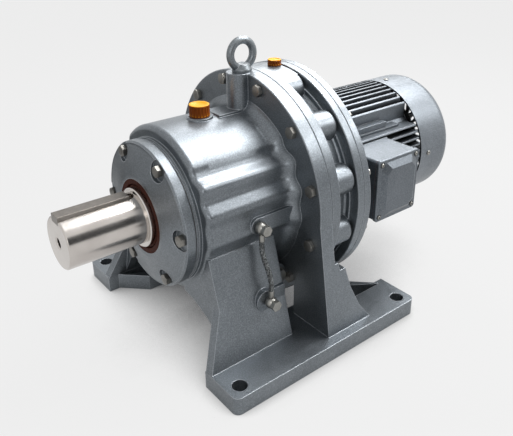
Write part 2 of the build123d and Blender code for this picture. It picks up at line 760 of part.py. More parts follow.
def ring_gear_housing():
    """Cast ring that holds the ring pins, with a rounded boss over each flange bolt."""
    rim_x = flange_back_x - ring_rim
    tail_x = ring_back_x + ring_lip
    profile = [
        (flange_back_x, pin_lip_radius), (flange_back_x, flange_radius - flange_edge),
        (flange_back_x - flange_edge, flange_radius), (rim_x + flange_edge, flange_radius),
        (rim_x, flange_radius - flange_edge),
        (rim_x, ring_waist_radius), (tail_x + ring_lip_bevel, ring_waist_radius),
        (tail_x, ring_waist_radius + ring_lip_bevel), (tail_x, ring_lip_radius - 1),
        (tail_x - 1, ring_lip_radius), (ring_back_x, ring_lip_radius), (ring_back_x, ring_bore_radius),
        (flange_back_x - pin_lip, ring_bore_radius), (flange_back_x - pin_lip, pin_lip_radius),
    ]
    body = lathe(profile)
    end_x = ring_back_x + boss_end_gap
    boss_plane = Plane(origin=(0, 0, 0), x_dir=(1, 0, 0), z_dir=(0, -1, 0))
    boss_outline = (
        Line((rim_x + 1, 0), (rim_x + 1, boss_radius))
        + Line((rim_x + 1, boss_radius), (end_x + boss_end_round, boss_radius))
        + CenterArc((end_x + boss_end_round, boss_radius - boss_end_round), boss_end_round, 90, 90)
        + Line((end_x, boss_radius - boss_end_round), (end_x, 0))
        + Line((end_x, 0), (rim_x + 1, 0))
    )
    boss = revolve(boss_plane * make_face(boss_outline), Axis.X)
    boss_circle = flange_radius - boss_radius - boss_inset
    places = around(bolt_count, boss_circle, bolt_first_angle)
    body = body + [place * Rot(boss_seam_angle, 0, 0) * boss for place in places]
    half_turn = 360.0 / bolt_count / 2
    bridge = ring(ring_back_x + 4, rim_x + 1, flange_radius - boss_inset, ring_bore_radius)
    reach = 2 * flange_radius
    wedge = [(0, 0), (reach * sin(radians(half_turn)), reach * cos(radians(half_turn))),
             (-reach * sin(radians(half_turn)), reach * cos(radians(half_turn)))]
    body += bridge & (Pos(0, 0, axis_z) * prism_x(wedge, ring_back_x, rim_x + 2))
    body -= bar_x(ring_back_x - 1, flange_back_x - pin_lip, ring_bore_radius)
    for place in around(bolt_count, bolt_circle_radius, bolt_first_angle):
        plane = Plane(origin=(flange_front_x - bolt_reach - 2, 0, 0), x_dir=(0, 1, 0), z_dir=(1, 0, 0))
        body -= place * extrude(plane * Circle(bolt_dia / 2 + THREAD_ROOM), bolt_reach)
    for place in around(adaptor_screws, adaptor_screw_circle):
        plane = Plane(origin=(ring_back_x - 1, 0, 0), x_dir=(0, 1, 0), z_dir=(1, 0, 0))
        body -= place * extrude(plane * Circle(adaptor_screw_dia / 2 + THREAD_ROOM), adaptor_screw_grip + 3)
    for place in around(ring_pin_count, ring_pin_circle):
        plane = Plane(origin=(flange_back_x - pin_lip - 1, 0, 0), x_dir=(0, 1, 0), z_dir=(1, 0, 0))
        body -= place * extrude(plane * Circle(ring_pin_dia / 2 + FIT), pin_lip + 2)
    return body - bar_z(axis_z + ring_bore_radius - 1, axis_z + flange_radius + 1, 8.0 + THREAD_ROOM, vent_x)


def ring_pins():
    """Fixed pins of the ring gear, held at both ends."""
    x_low = ring_back_x - ring_pin_seat
    x_high = flange_back_x - 0.5
    pin = extrude(Plane(origin=(x_low, 0, 0), x_dir=(0, 1, 0), z_dir=(1, 0, 0))
                  * Circle(ring_pin_dia / 2), x_high - x_low)
    return group([place * pin for place in around(ring_pin_count, ring_pin_circle)])


def ring_pin_rollers():
    """Sleeves on the ring pins, where the discs run."""
    x_low = ring_back_x + 1
    x_high = flange_back_x - pin_lip - 1
    sketch = Circle(ring_roller_dia / 2) - Circle(ring_pin_dia / 2 + FIT)
    sleeve = extrude(Plane(origin=(x_low, 0, 0), x_dir=(0, 1, 0), z_dir=(1, 0, 0)) * sketch, x_high - x_low)
    return group([place * sleeve for place in around(ring_pin_count, ring_pin_circle)])


def flange_bolts():
    """Bolts through the big flange into the bosses of the ring housing."""
    bolt = Pos(flange_front_x, 0, 0) * hex_screw(bolt_across_flats, bolt_head, bolt_dia, bolt_reach)
    return group([place * bolt for place in around(bolt_count, bolt_circle_radius, bolt_first_angle)])


def motor_screws():
    """Short screws that hold the motor flange on the adaptor, seen behind the flange."""
    length = motor_flange_thick + adaptor_thick - 6
    screw = hex_screw(motor_screw_flats, motor_screw_head, motor_screw_dia, length)
    screw = Pos(motor_flange_back_x, 0, 0) * Rot(0, 180, 0) * screw
    return group([place * screw for place in around(motor_screw_count, motor_screw_circle, bolt_first_angle)])


def adaptor_screw_set():
    """Socket screws that hold the adaptor on the ring housing, under the motor flange."""
    seat_x = adaptor_back_x + adaptor_screw_head + 1
    plane = Plane(origin=(seat_x, 0, 0), x_dir=(0, 1, 0), z_dir=(-1, 0, 0))
    head = extrude(plane * (Circle(adaptor_screw_dia * 0.8) - RegularPolygon(3.0, 6)), adaptor_screw_head)
    floor = extrude(plane * Circle(adaptor_screw_dia * 0.8), adaptor_screw_head / 2)
    length = ring_back_x - seat_x + adaptor_screw_grip
    shank = extrude(plane * Circle(adaptor_screw_dia / 2), -length)
    screw = head + floor + shank
    return group([place * screw for place in around(adaptor_screws, adaptor_screw_circle)])


def cover_bolt_set():
    """Short bolts of the front cover."""
    bolt = hex_screw(cover_bolt_flats, cover_bolt_head, cover_bolt_dia, cover_thick + gasket_thick + 16)
    bolt = Pos(cover_face_x - spotface_depth, 0, 0) * bolt
    return group([place * bolt for place in around(cover_bolts, cover_bolt_circle)])


def adaptor_flange():
    """Flange that closes the ring housing and holds the input seal."""
    edge = flange_edge
    body = lathe([
        (adaptor_back_x, input_seal_radius + FIT), (adaptor_back_x, flange_radius - edge),
        (adaptor_back_x + edge, flange_radius), (ring_back_x - edge, flange_radius),
        (ring_back_x, flange_radius - edge), (ring_back_x, input_seal_radius + FIT),
    ])
    body += ring(adaptor_back_x, adaptor_back_x + 3, input_seal_radius + 1, motor_core_seat / 2 + 4)
    body += ring(ring_back_x - 1, ring_back_x + adaptor_spigot, adaptor_spigot_radius, input_seal_radius + 8)
    plane = Plane(origin=(adaptor_back_x - 1, 0, 0), x_dir=(0, 1, 0), z_dir=(1, 0, 0))
    for place in around(motor_screw_count, motor_screw_circle, bolt_first_angle):
        body -= place * extrude(plane * Circle(motor_screw_dia / 2 + THREAD_ROOM), adaptor_thick - 2)
    for place in around(adaptor_screws, adaptor_screw_circle):
        body -= place * extrude(plane * Circle(adaptor_screw_dia / 2 + HOLE_ROOM), adaptor_thick + 2)
        body -= place * extrude(plane * Circle(adaptor_screw_dia * 0.85), adaptor_screw_head + 2)
    for place in around(ring_pin_count, ring_pin_circle):
        plane = Plane(origin=(ring_back_x - ring_pin_seat - 0.5, 0, 0), x_dir=(0, 1, 0), z_dir=(1, 0, 0))
        body -= place * extrude(plane * Circle(ring_pin_dia / 2 + FIT), ring_pin_seat + 1)
    return body


def input_oil_seal():
    """Seal between the gear oil and the motor."""
    x_low = adaptor_back_x + 3
    return ring(x_low, x_low + input_seal_width, input_seal_radius - FIT, motor_core_seat / 2 - 2 + RUNNING)


def motor_flange():
    """Front end shield of the motor: bolting flange, spigot and bearing hub."""
    hub_x = front_motor_bearing_x - motor_bearing_width - 2
    bore = motor_bearing_outer / 2 + FIT
    profile = [
        (adaptor_back_x, motor_core_seat / 2 + 4), (adaptor_back_x, flange_radius - flange_edge),
        (adaptor_back_x - flange_edge, flange_radius), (motor_flange_back_x + flange_edge, flange_radius),
        (motor_flange_back_x, flange_radius - flange_edge), (motor_flange_back_x, frame_bore_radius - FIT),
        (motor_flange_back_x - spigot, frame_bore_radius - FIT), (motor_flange_back_x - spigot, 84.0),
        (motor_flange_back_x, 78.0), (motor_flange_back_x, shield_hub_radius + 4), (hub_x, shield_hub_radius),
        (hub_x, bore), (front_motor_bearing_x, bore), (front_motor_bearing_x, motor_core_seat / 2 + 4),
    ]
    body = lathe(profile)
    plane = Plane(origin=(motor_flange_back_x - 1, 0, 0), x_dir=(0, 1, 0), z_dir=(1, 0, 0))
    for place in around(motor_screw_count, motor_screw_circle, bolt_first_angle):
        body -= place * extrude(plane * Circle(motor_screw_dia / 2 + HOLE_ROOM), motor_flange_thick + 2)
    return body


def fin_bed():
    """All cooling fins as one (y, z) sketch about the shaft line: upright on top, level at the sides."""
    sketch = Sketch()
    for i in range(-fins_upright, fins_upright + 1):
        sketch += Pos(i * fin_pitch, 0) * Rectangle(fin_thick, 2 * fin_radius)
    for i in range(-fins_level, fins_level + 1):
        sketch += Pos(0, i * fin_pitch) * Rectangle(2 * fin_radius, fin_thick)
    return sketch & Circle(fin_radius)


def motor_frame():
    """Finned stator housing with the seat of the terminal box and the bare plate seat."""
    x_low = frame_back_x
    x_high = motor_flange_back_x
    body = extrude(facing_x(x_low) * Circle(frame_outer_radius), x_high - x_low)
    body += extrude(facing_x(x_low + fin_rear_gap) * fin_bed(), frame_length - fin_rear_gap - fin_front_gap)
    body += block(box_centre_x - box_length / 2, box_centre_x + box_length / 2, 60, box_outer_y - box_depth,
                  axis_z - box_height / 2, axis_z + box_height / 2)
    seat_low, seat_high, seat_z, seat_top = plate_seat
    body += block(x_low + 40, x_high - 40, 50, seat_high, axis_z + 50, axis_z + seat_z)
    body += block(x_low + 75, x_high - 60, seat_low, seat_high - 4, axis_z + 50, axis_z + seat_top)
    box_back_y = box_outer_y - box_depth
    body -= block(box_centre_x - box_length / 2 - box_room, box_centre_x + box_length / 2 + box_room,
                  box_back_y, fin_radius + 1, axis_z - box_height / 2 - 2 * box_room, axis_z + box_height / 2 + box_room)
    body -= bar_x(x_low - 1, x_high + 1, frame_bore_radius)
    body -= block(box_centre_x - 30, box_centre_x + 30, 60, box_outer_y, axis_z - 30, axis_z + 30)
    return body


def stator_windings():
    """End turns of the winding, at both ends of the stator core."""
    outer = frame_bore_radius - 8
    inner = outer - winding_wall
    front = ring(stator_front_x + 0.5, stator_front_x + winding_overhang, outer, inner)
    back = ring(stator_back_x - winding_overhang, stator_back_x - 0.5, outer, inner)
    front = fillet(front.edges().filter_by(GeomType.CIRCLE).sort_by(Axis.X)[-2:], 6)
    back = fillet(back.edges().filter_by(GeomType.CIRCLE).sort_by(Axis.X)[:2], 6)
    return group([front, back])


def motor_shaft():
    """Motor shaft that also carries the eccentric."""
    seat = motor_bearing_bore / 2 - FIT
    front_end = front_motor_bearing_x
    rear_end = rear_motor_bearing_x
    profile = [
        (disc_front_x + 8, 0), (disc_front_x + 8, seat), (disc_end_x - 4, seat),
        (disc_end_x - 4, motor_core_seat / 2 - 2), (front_end, motor_core_seat / 2 - 2),
        (front_end, seat), (front_end - motor_bearing_width, seat),
        (front_end - motor_bearing_width, motor_core_seat / 2), (rear_end, motor_core_seat / 2),
        (rear_end, seat), (rear_end - motor_bearing_width, seat),
        (rear_end - motor_bearing_width, fan_seat_dia / 2), (fan_back_x, fan_seat_dia / 2), (fan_back_x, 0),
    ]
    return lathe(profile)


def eccentric_cam():
    """Sleeve with two opposed eccentric journals, one for each disc."""
    radius = disc_bore_radius - 13.0
    front = bar_x(disc_front_x - disc_thick - disc_gap / 2, disc_front_x + 2, radius, 0, axis_z + eccentricity)
    rear = bar_x(disc_end_x - 2, disc_front_x - disc_thick - disc_gap / 2, radius, 0, axis_z - eccentricity)
    return front + rear - bar_x(disc_end_x - 3, disc_front_x + 3, motor_bearing_bore / 2)


def eccentric_rollers():
    """Rollers between each eccentric journal and its disc."""
    journal = disc_bore_radius - 13.0
    radius = (disc_bore_radius - journal) / 2 - LOOSE
    pitch = (disc_bore_radius + journal) / 2
    rollers = []
    for x_high, side in ((disc_front_x, 1), (disc_rear_x, -1)):
        plane = Plane(origin=(x_high - disc_thick, 0, 0), x_dir=(0, 1, 0), z_dir=(1, 0, 0))
        roller = extrude(plane * Circle(radius), disc_thick)
        for i in range(14):
            angle = 360.0 / 14 * i
            place = Pos(0, 0, axis_z + side * eccentricity) * Rot(angle, 0, 0) * Pos(0, pitch, 0)
            rollers.append(place * roller)
    return group(rollers)


def cowl_screw_places():
    """Places of the four cowl screws, each for a piece that is drawn on the Z axis."""
    middle = Pos(cowl_front_x - cowl_screw_back, 0, axis_z)
    return [middle * Rot(90.0 * i - 90.0, 0, 0) for i in range(4)]


def rear_end_shield():
    """Rear end shield with its bearing hub and the four lugs that carry the fan cowl."""
    bore = motor_bearing_outer / 2 + FIT
    inner_x = rear_motor_bearing_x - motor_bearing_width
    profile = [
        (frame_back_x + spigot, 84.0), (frame_back_x + spigot, frame_bore_radius - FIT),
        (frame_back_x, frame_bore_radius - FIT), (frame_back_x, frame_outer_radius + 2),
        (shield_back_x, frame_outer_radius - 2), (shield_back_x, shield_hub_radius + 6),
        (shield_back_x - 6, shield_hub_radius), (shield_back_x - 6, fan_seat_dia / 2 + 2),
        (inner_x, fan_seat_dia / 2 + 2), (inner_x, bore), (rear_motor_bearing_x, bore),
        (rear_motor_bearing_x, shield_hub_radius), (frame_back_x, shield_hub_radius + 4),
        (frame_back_x, 78.0),
    ]
    body = lathe(profile)
    lug_outer = cowl_radius - cowl_wall - FIT
    lug_back = cowl_front_x - cowl_screw_back - 8
    for i in range(4):
        turn = Pos(0, 0, axis_z) * Rot(90.0 * i, 0, 0)
        lug = Pos((frame_back_x + lug_back) / 2, (96 + lug_outer) / 2, 0) \
            * Box(frame_back_x - lug_back, lug_outer - 96, 18)
        body += turn * lug
    outside = ring(lug_back - 1, frame_back_x, cowl_radius + 30, lug_outer)
    body -= outside
    body -= bar_x(lug_back - 1, shield_back_x - 7, fan_radius + 5)
    for place in cowl_screw_places():
        body -= place * Pos(0, 0, cowl_radius - 20) * Cylinder(2.5 + THREAD_ROOM, 30, align=UPRIGHT)
    return body


def fan_cowl():
    """Pressed steel fan cowl with a slotted grille in its rear face."""
    outer_straight = cowl_back_x + cowl_round
    outline = (
        Line((cowl_front_x, cowl_radius - cowl_wall), (cowl_front_x, cowl_radius))
        + Line((cowl_front_x, cowl_radius), (outer_straight, cowl_radius))
        + CenterArc((outer_straight, cowl_radius - cowl_round), cowl_round, 90, 90)
        + Line((cowl_back_x, cowl_radius - cowl_round), (cowl_back_x, 0))
        + Line((cowl_back_x, 0), (cowl_back_x + cowl_wall, 0))
        + Line((cowl_back_x + cowl_wall, 0), (cowl_back_x + cowl_wall, cowl_radius - cowl_round))
        + CenterArc((outer_straight, cowl_radius - cowl_round), cowl_round - cowl_wall, 180, -90)
        + Line((outer_straight, cowl_radius - cowl_wall), (cowl_front_x, cowl_radius - cowl_wall))
    )
    cowl = revolve(lathe_plane * make_face(outline), shaft_axis)
    slots = Sketch()
    for i in range(grille_slots):
        length = grille_outer - grille_inner
        place = Rot(0, 0, 360.0 / grille_slots * i) * Pos((grille_outer + grille_inner) / 2, 0)
        slots += place * SlotOverall(length, grille_slot)
    cowl -= extrude(facing_x(cowl_back_x - 1) * slots, cowl_wall + 2)
    for place in cowl_screw_places():
        cowl -= place * Pos(0, 0, cowl_radius - 10) * Cylinder(2.5 + HOLE_ROOM, 30, align=UPRIGHT)
    return cowl


def cowl_screws():
    """Four round-head screws of the cowl."""
    screws = []
    for place in cowl_screw_places():
        head = Pos(0, 0, cowl_radius + 0.1) * Cylinder(5.0, 3.0, align=UPRIGHT)
        shank = Pos(0, 0, cowl_radius - 12) * Cylinder(2.5, 13, align=UPRIGHT)
        screws.append(place * (head + shank))
    return group(screws)


def cooling_fan():
    """Radial fan on the rear end of the motor shaft."""
    fan = ring(fan_back_x, fan_front_x, fan_hub_radius, fan_seat_dia / 2 + FIT)
    fan += ring(fan_front_x - 3, fan_front_x, fan_radius, fan_seat_dia / 2 + FIT)
    for i in range(fan_blades):
        blade = Pos((fan_back_x + fan_front_x) / 2, (fan_hub_radius + fan_radius) / 2 - 2, 0) \
            * Box(fan_width, fan_radius - fan_hub_radius + 2, fan_blade_thick)
        fan += Pos(0, 0, axis_z) * Rot(360.0 / fan_blades * i, 0, 0) * blade
    return fan & bar_x(fan_back_x - 1, fan_front_x + 1, fan_radius)


def box_outline(grow=0.0):
    """Outline of the terminal box on its (x, z) face."""
    return RectangleRounded(box_length + 2 * grow, box_height + 2 * grow, box_corner + grow)


def lid_screw_places():
    """Corners of the lid, as (x, z) offsets from the centre of the box."""
    reach_x = box_length / 2 - lid_screw_inset
    reach_z = box_height / 2 - lid_screw_inset
    return [(sx * reach_x, sz * reach_z) for sx in (-1, 1) for sz in (-1, 1)]


def terminal_box():
    """Open terminal box with screw bosses in its corners and a cable entry underneath."""
    inner_y = box_outer_y - box_depth
    body = extrude(facing_y(inner_y, box_centre_x, axis_z) * box_outline(), box_outer_y - inner_y)
    hollow = RectangleRounded(box_length - 2 * box_wall, box_height - 2 * box_wall, 3)
    body -= extrude(facing_y(inner_y + box_wall, box_centre_x, axis_z) * hollow, 80)
    for dx, dz in lid_screw_places():
        body += bar_y(inner_y + 1, box_outer_y, 6.5, box_centre_x + dx, axis_z + dz)
    for dx, dz in lid_screw_places():
        body -= bar_y(box_outer_y - 14, box_outer_y + 1, lid_screw_dia / 2 + THREAD_ROOM, box_centre_x + dx, axis_z + dz)
    body -= block(box_centre_x - 22, box_centre_x + 22, inner_y - 1, inner_y + box_wall + 1, axis_z - 22, axis_z + 22)
    entry_y = (inner_y + box_outer_y) / 2
    low_z = axis_z - box_height / 2
    body += bar_z(low_z - 6, low_z + 1, 19.0, box_centre_x, entry_y)
    body -= bar_z(low_z - 7, low_z + box_wall + 1, 12.5 + THREAD_ROOM, box_centre_x, entry_y)
    return body


def cable_entry_plug():
    """Hexagon blanking plug in the cable entry."""
    entry_y = box_outer_y - box_depth / 2
    low_z = axis_z - box_height / 2 - 6
    plug = bar_z(low_z - 0.01, low_z + 10, 12.5, box_centre_x, entry_y)
    head = extrude(Pos(box_centre_x, entry_y, low_z - 6) * RegularPolygon(16.0, 6, major_radius=False), 6)
    return plug + head


def terminal_box_gasket():
    """Rubber gasket under the lid."""
    hollow = RectangleRounded(box_length - 2 * box_wall, box_height - 2 * box_wall, 3)
    gasket = extrude(facing_y(box_outer_y, box_centre_x, axis_z) * (box_outline() - hollow), box_gasket)
    for dx, dz in lid_screw_places():
        gasket -= bar_y(box_outer_y - 1, box_outer_y + box_gasket + 1, lid_screw_dia / 2 + HOLE_ROOM,
                        box_centre_x + dx, axis_z + dz)
    return gasket


def terminal_box_lid():
    """Lid with a raised centre panel whose edges are bevelled."""
    back_y = box_outer_y + box_gasket
    lid = extrude(facing_y(back_y, box_centre_x, axis_z) * box_outline(lid_overlap), lid_thick)
    lid = chamfer(lid.faces().sort_by(Axis.Y)[-1].edges(), 1.5)
    base = chamfer(Rectangle(box_length - 8, box_height - 8).vertices(), lid_panel_cut)
    top = chamfer(Rectangle(box_length - 8 - lid_panel_inset, box_height - 8 - lid_panel_inset).vertices(),
                  lid_panel_cut - 3)
    face_y = back_y + lid_thick
    panel = loft([facing_y(face_y - 1, box_centre_x, axis_z) * base,
                  facing_y(face_y + lid_panel_rise, box_centre_x, axis_z) * top])
    lid += panel
    for dx, dz in lid_screw_places():
        lid -= bar_y(back_y - 1, face_y + 8, lid_screw_dia / 2 + HOLE_ROOM, box_centre_x + dx, axis_z + dz)
        lid -= bar_y(face_y - 1, face_y + 8, lid_screw_head / 2 + 2, box_centre_x + dx, axis_z + dz)
    return lid


def terminal_lid_screws():
    """Four cylinder-head screws of the lid."""
    face_y = box_outer_y + box_gasket + lid_thick - 1
    screws = []
    for dx, dz in lid_screw_places():
        shank = bar_y(face_y - 16, face_y + 1, lid_screw_dia / 2, box_centre_x + dx, axis_z + dz)
        head = bar_y(face_y, face_y + 4, lid_screw_head / 2, box_centre_x + dx, axis_z + dz)
        screws.append(shank + head)
    return group(screws)


def terminal_block():
    """Moulded block with six studs, on the floor of the terminal box."""
    floor_y = box_outer_y - box_depth + box_wall
    body = block(box_centre_x - 34, box_centre_x + 34, floor_y, floor_y + 14, axis_z - 24, axis_z + 24)
    for i in range(3):
        for side in (-1, 1):
            body += bar_y(floor_y + 13, floor_y + 28, 2.5, box_centre_x + 22 * (i - 1), axis_z + 13 * side)
    return body


def lifting_eyebolt():
    """Lifting eyebolt: its ring stands in the plane of the shaft line."""
    wire = (eye_outer_dia - eye_inner_dia) / 4
    centre_z = lift_boss_z + eye_total_height - eye_outer_dia / 2
    middle = (eye_outer_dia + eye_inner_dia) / 4
    eye = Pos(eye_x, 0, centre_z) * Rot(90, 0, 0) * Torus(middle, wire)
    collar_plane = Plane(origin=(eye_x, 0, lift_boss_z), x_dir=(1, 0, 0), z_dir=(0, -1, 0))
    collar_outline = [(0, 0), (eye_collar_dia / 2, 0), (eye_collar_dia / 2, 5), (eye_collar_dia / 2 - 6, eye_collar_height + 2),
                      (0, eye_collar_height + 2)]
    collar = revolve(collar_plane * make_face(Polyline(*collar_outline, close=True)), Axis((eye_x, 0, 0), (0, 0, 1)))
    shank = bar_z(lift_boss_z - eye_shank_length, lift_boss_z, eye_shank_dia / 2, eye_x)
    eye_hole = bar_y(-20, 20, eye_inner_dia / 2, eye_x, centre_z)
    return eye + (collar - eye_hole) + shank


def ribbed_plug(x, seat_z, diameter, height, shank_dia, shank_length, ribs):
    """Screw plug with a ribbed cap."""
    cap = bar_z(seat_z, seat_z + height, diameter / 2, x)
    cap = chamfer(cap.edges().filter_by(GeomType.CIRCLE).sort_by(Axis.Z)[-1], 1.2)
    groove = 1.3
    for i in range(ribs):
        angle = 2 * pi / ribs * i
        reach = diameter / 2 + groove * 0.4
        cap -= bar_z(seat_z + 2.5, seat_z + height - 2.5, groove, x + reach * cos(angle), reach * sin(angle))
    return cap + bar_z(seat_z - shank_length, seat_z, shank_dia / 2, x)


def gauge_bolt(seat_y, z):
    """Hollow bolt that holds a banjo on its boss."""
    outer_y = seat_y + banjo_width
    head = extrude(facing_y(outer_y, gauge_x, z) * RegularPolygon(gauge_bolt_flats / 2, 6, major_radius=False),
                   gauge_bolt_head)
    return head + bar_y(seat_y - 16, outer_y, gauge_bolt_dia / 2, gauge_x, z)


def gauge_banjo(seat_y, z, way):
    """Ball-shaped eye on the gauge bolt, with a stem up or down that takes the clear tube."""
    middle_y = seat_y + banjo_width / 2
    slab = block(gauge_x - 30, gauge_x + 30, seat_y, seat_y + banjo_width, z - 30, z + 30)
    eye = (Pos(gauge_x, middle_y, z) * Sphere(banjo_radius)) & slab
    stem_plane = Plane(origin=(gauge_x, middle_y, z), z_dir=(0, 0, way))
    stem = extrude(stem_plane * Circle(gauge_stem_dia / 2), gauge_stem_length)
    collar = extrude(stem_plane.offset(gauge_stem_length - 12) * Circle(gauge_collar_dia / 2), 12)
    nipple_radius = gauge_tube_dia / 2 - gauge_tube_wall - FIT
    nipple = extrude(stem_plane * Circle(nipple_radius), gauge_stem_length + gauge_nipple)
    hole = bar_y(seat_y - 1, seat_y + banjo_width + 1, gauge_bolt_dia / 2 + THREAD_ROOM, gauge_x, z)
    return eye + stem + collar + nipple - hole


def gauge_tube():
    """Clear tube that shows the oil level, bent from the upper banjo out to the lower one."""
    top = Vector(gauge_x, gauge_boss_y + banjo_width / 2, gauge_top_z - gauge_stem_length)
    low = Vector(gauge_x, gauge_low_boss_y + banjo_width / 2, gauge_low_z + gauge_stem_length)
    straight = Vector(0, 0, gauge_nipple + 1)
    bend = Spline(top - straight, low + straight, tangents=[(0, 0, -1), (0, 0, -1)])
    path = Line(top, top - straight) + bend + Line(low + straight, low)
    outside = sweep(Plane(origin=top, z_dir=(0, 0, -1)) * Circle(gauge_tube_dia / 2), path=path)
    inside = sweep(Plane(origin=top, z_dir=(0, 0, -1)) * Circle(gauge_tube_dia / 2 - gauge_tube_wall), path=path)
    return outside - inside


def drain_plug():
    """Hexagon drain plug."""
    plane = facing_y(drain_boss_y, drain_x, drain_z)
    head = extrude(plane * RegularPolygon(drain_plug_flats / 2, 6, major_radius=False), drain_plug_head)
    flange = extrude(plane * Circle(drain_plug_flats / 2 + 3), 3)
    return head + flange + bar_y(drain_boss_y - 18, drain_boss_y, drain_plug_dia / 2, drain_x, drain_z)


def write_gear_side():
    """Nodes of the gear half."""
    save("gear_housing", gear_housing())
    save("front_cover", front_cover())
    save("cover_gasket", cover_gasket())
    save("cover_bolts", cover_bolt_set())
    save("output_oil_seal", output_oil_seal())
    for name, x_low in (("front", front_bearing_x), ("rear", rear_bearing_x)):
        outer, inner = bearing_rings(x_low, bearing_bore, bearing_outer, bearing_width, bearing_race)
        save(f"{name}_bearing_outer_ring", outer)
        save(f"{name}_bearing_inner_ring", inner)
        save(f"{name}_bearing_rollers", bearing_roller_set(x_low))
    spacer_low = rear_bearing_x + bearing_width
    save("shaft_spacer", ring(spacer_low, front_bearing_x, bearing_bore / 2 + bearing_spacer_wall, bearing_bore / 2 - 3.9))
    save("output_shaft", output_shaft())
    save("output_key", output_key())
    save("output_pins", output_pins())
    save("output_pin_rollers", output_pin_rollers())
    save("cycloid_disc_front", cycloid_disc(disc_front_x, 90.0))
    save("cycloid_disc_rear", cycloid_disc(disc_rear_x, 270.0))
    save("ring_gear_housing", ring_gear_housing())
    save("ring_pins", ring_pins())
    save("ring_pin_rollers", ring_pin_rollers())
    save("flange_bolts", flange_bolts())
    save("adaptor_screws", adaptor_screw_set())
    save("motor_screws", motor_screws())
    save("adaptor_flange", adaptor_flange())
    save("input_oil_seal", input_oil_seal())


def write_motor():
    """Nodes of the motor half."""
    save("motor_flange", motor_flange())
    save("motor_frame", motor_frame())
    save("stator_core", ring(stator_back_x, stator_front_x, frame_bore_radius - FIT, stator_bore_radius))
    save("stator_windings", stator_windings())
    save("motor_shaft", motor_shaft())
    save("rotor_core", ring(stator_back_x, stator_front_x, stator_bore_radius - rotor_gap, motor_core_seat / 2 + FIT))
    save("eccentric_cam", eccentric_cam())
    save("eccentric_rollers", eccentric_rollers())
    race = (motor_bearing_outer - motor_bearing_bore) / 4 - motor_ball_dia / 2 - LOOSE
    pitch = (motor_bearing_outer + motor_bearing_bore) / 4
    balls = []
    for name, x_high in (("front", front_motor_bearing_x), ("rear", rear_motor_bearing_x)):
        x_low = x_high - motor_bearing_width
        outer, inner = bearing_rings(x_low, motor_bearing_bore, motor_bearing_outer, motor_bearing_width, race)
        save(f"motor_{name}_bearing_outer_ring", outer)
        save(f"motor_{name}_bearing_inner_ring", inner)
        ball = Pos(x_low + motor_bearing_width / 2, 0, 0) * Sphere(motor_ball_dia / 2)
        balls += [place * ball for place in around(motor_balls, pitch)]
    save("motor_bearing_balls", group(balls))
    save("rear_end_shield", rear_end_shield())
    save("cooling_fan", cooling_fan())
    save("fan_cowl", fan_cowl())
    save("cowl_screws", cowl_screws())
    save("terminal_box", terminal_box())
    save("cable_entry_plug", cable_entry_plug())
    save("terminal_box_gasket", terminal_box_gasket())
    save("terminal_box_lid", terminal_box_lid())
    save("terminal_lid_screws", terminal_lid_screws())
    save("terminal_block", terminal_block())


def write_fittings():
    """Nodes of the lifting eye, the plugs and the oil gauge."""
    save("lifting_eyebolt", lifting_eyebolt())
    save("filler_plug", ribbed_plug(filler_x, top_pad_z, filler_dia, filler_height, 26.0, 20.0, 20))
    vent_seat = axis_z + flange_radius - boss_inset
    save("ring_housing_plug", ribbed_plug(vent_x, vent_seat, vent_dia, vent_height, 16.0, 20.0, 16))
    save("gauge_upper_bolt", gauge_bolt(gauge_boss_y, gauge_top_z))
    save("gauge_lower_bolt", gauge_bolt(gauge_low_boss_y, gauge_low_z))
    save("gauge_upper_banjo", gauge_banjo(gauge_boss_y, gauge_top_z, -1))
    save("gauge_lower_banjo", gauge_banjo(gauge_low_boss_y, gauge_low_z, 1))
    save("gauge_tube", gauge_tube())
    save("drain_plug", drain_plug())


write_gear_side()
write_motor()
write_fittings()
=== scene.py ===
import json
import math

import bmesh
import bpy
from mathutils import Matrix, Vector


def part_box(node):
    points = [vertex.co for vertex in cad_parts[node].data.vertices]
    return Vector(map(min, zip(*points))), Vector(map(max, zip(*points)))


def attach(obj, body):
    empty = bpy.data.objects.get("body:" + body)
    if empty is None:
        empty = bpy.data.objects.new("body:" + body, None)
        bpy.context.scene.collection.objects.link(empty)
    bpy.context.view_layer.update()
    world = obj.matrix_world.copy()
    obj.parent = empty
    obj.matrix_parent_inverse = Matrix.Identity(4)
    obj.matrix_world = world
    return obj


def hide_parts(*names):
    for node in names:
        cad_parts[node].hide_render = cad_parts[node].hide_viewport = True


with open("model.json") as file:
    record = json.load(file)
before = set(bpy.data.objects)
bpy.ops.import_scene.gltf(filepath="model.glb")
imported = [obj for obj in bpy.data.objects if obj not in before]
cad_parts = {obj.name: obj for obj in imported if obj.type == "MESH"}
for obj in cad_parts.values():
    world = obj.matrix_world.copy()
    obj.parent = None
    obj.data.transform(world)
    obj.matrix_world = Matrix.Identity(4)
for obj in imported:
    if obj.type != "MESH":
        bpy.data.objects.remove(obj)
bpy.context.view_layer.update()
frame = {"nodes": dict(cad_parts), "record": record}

# Foot-mounted cycloidal geared motor, dressed for the eye around its solid parts.
# +X runs along the output shaft, out of the gear housing; +Z is up; +Y is the terminal-box side.
# Every operator below finishes one piece, or one group of like pieces, and can be run by itself.

bl_info = {
    "name": "Geared motor finish",
    "version": (1, 0, 0),
    "blender": (4, 5, 0),
    "location": "View3D > Sidebar > Geared motor",
    "description": "Paints and details a foot-mounted cycloidal geared motor",
    "category": "Object",
}

MM = 0.001
MM_PER_METRE = 1000.0
NODES = frame["nodes"]
AXIS_Z = (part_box("output_shaft")[0].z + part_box("output_shaft")[1].z) / 2
HOUSING = "housing"

# Smallest gap between two vertices, and smallest radius of a ring, in metres
MERGE_GAP = 1e-6
ON_AXIS = 1e-7

# Places of the colour sockets on a Mix node, which has other sockets of the same names
MIX_FIRST, MIX_SECOND, MIX_RESULT = 6, 7, 2

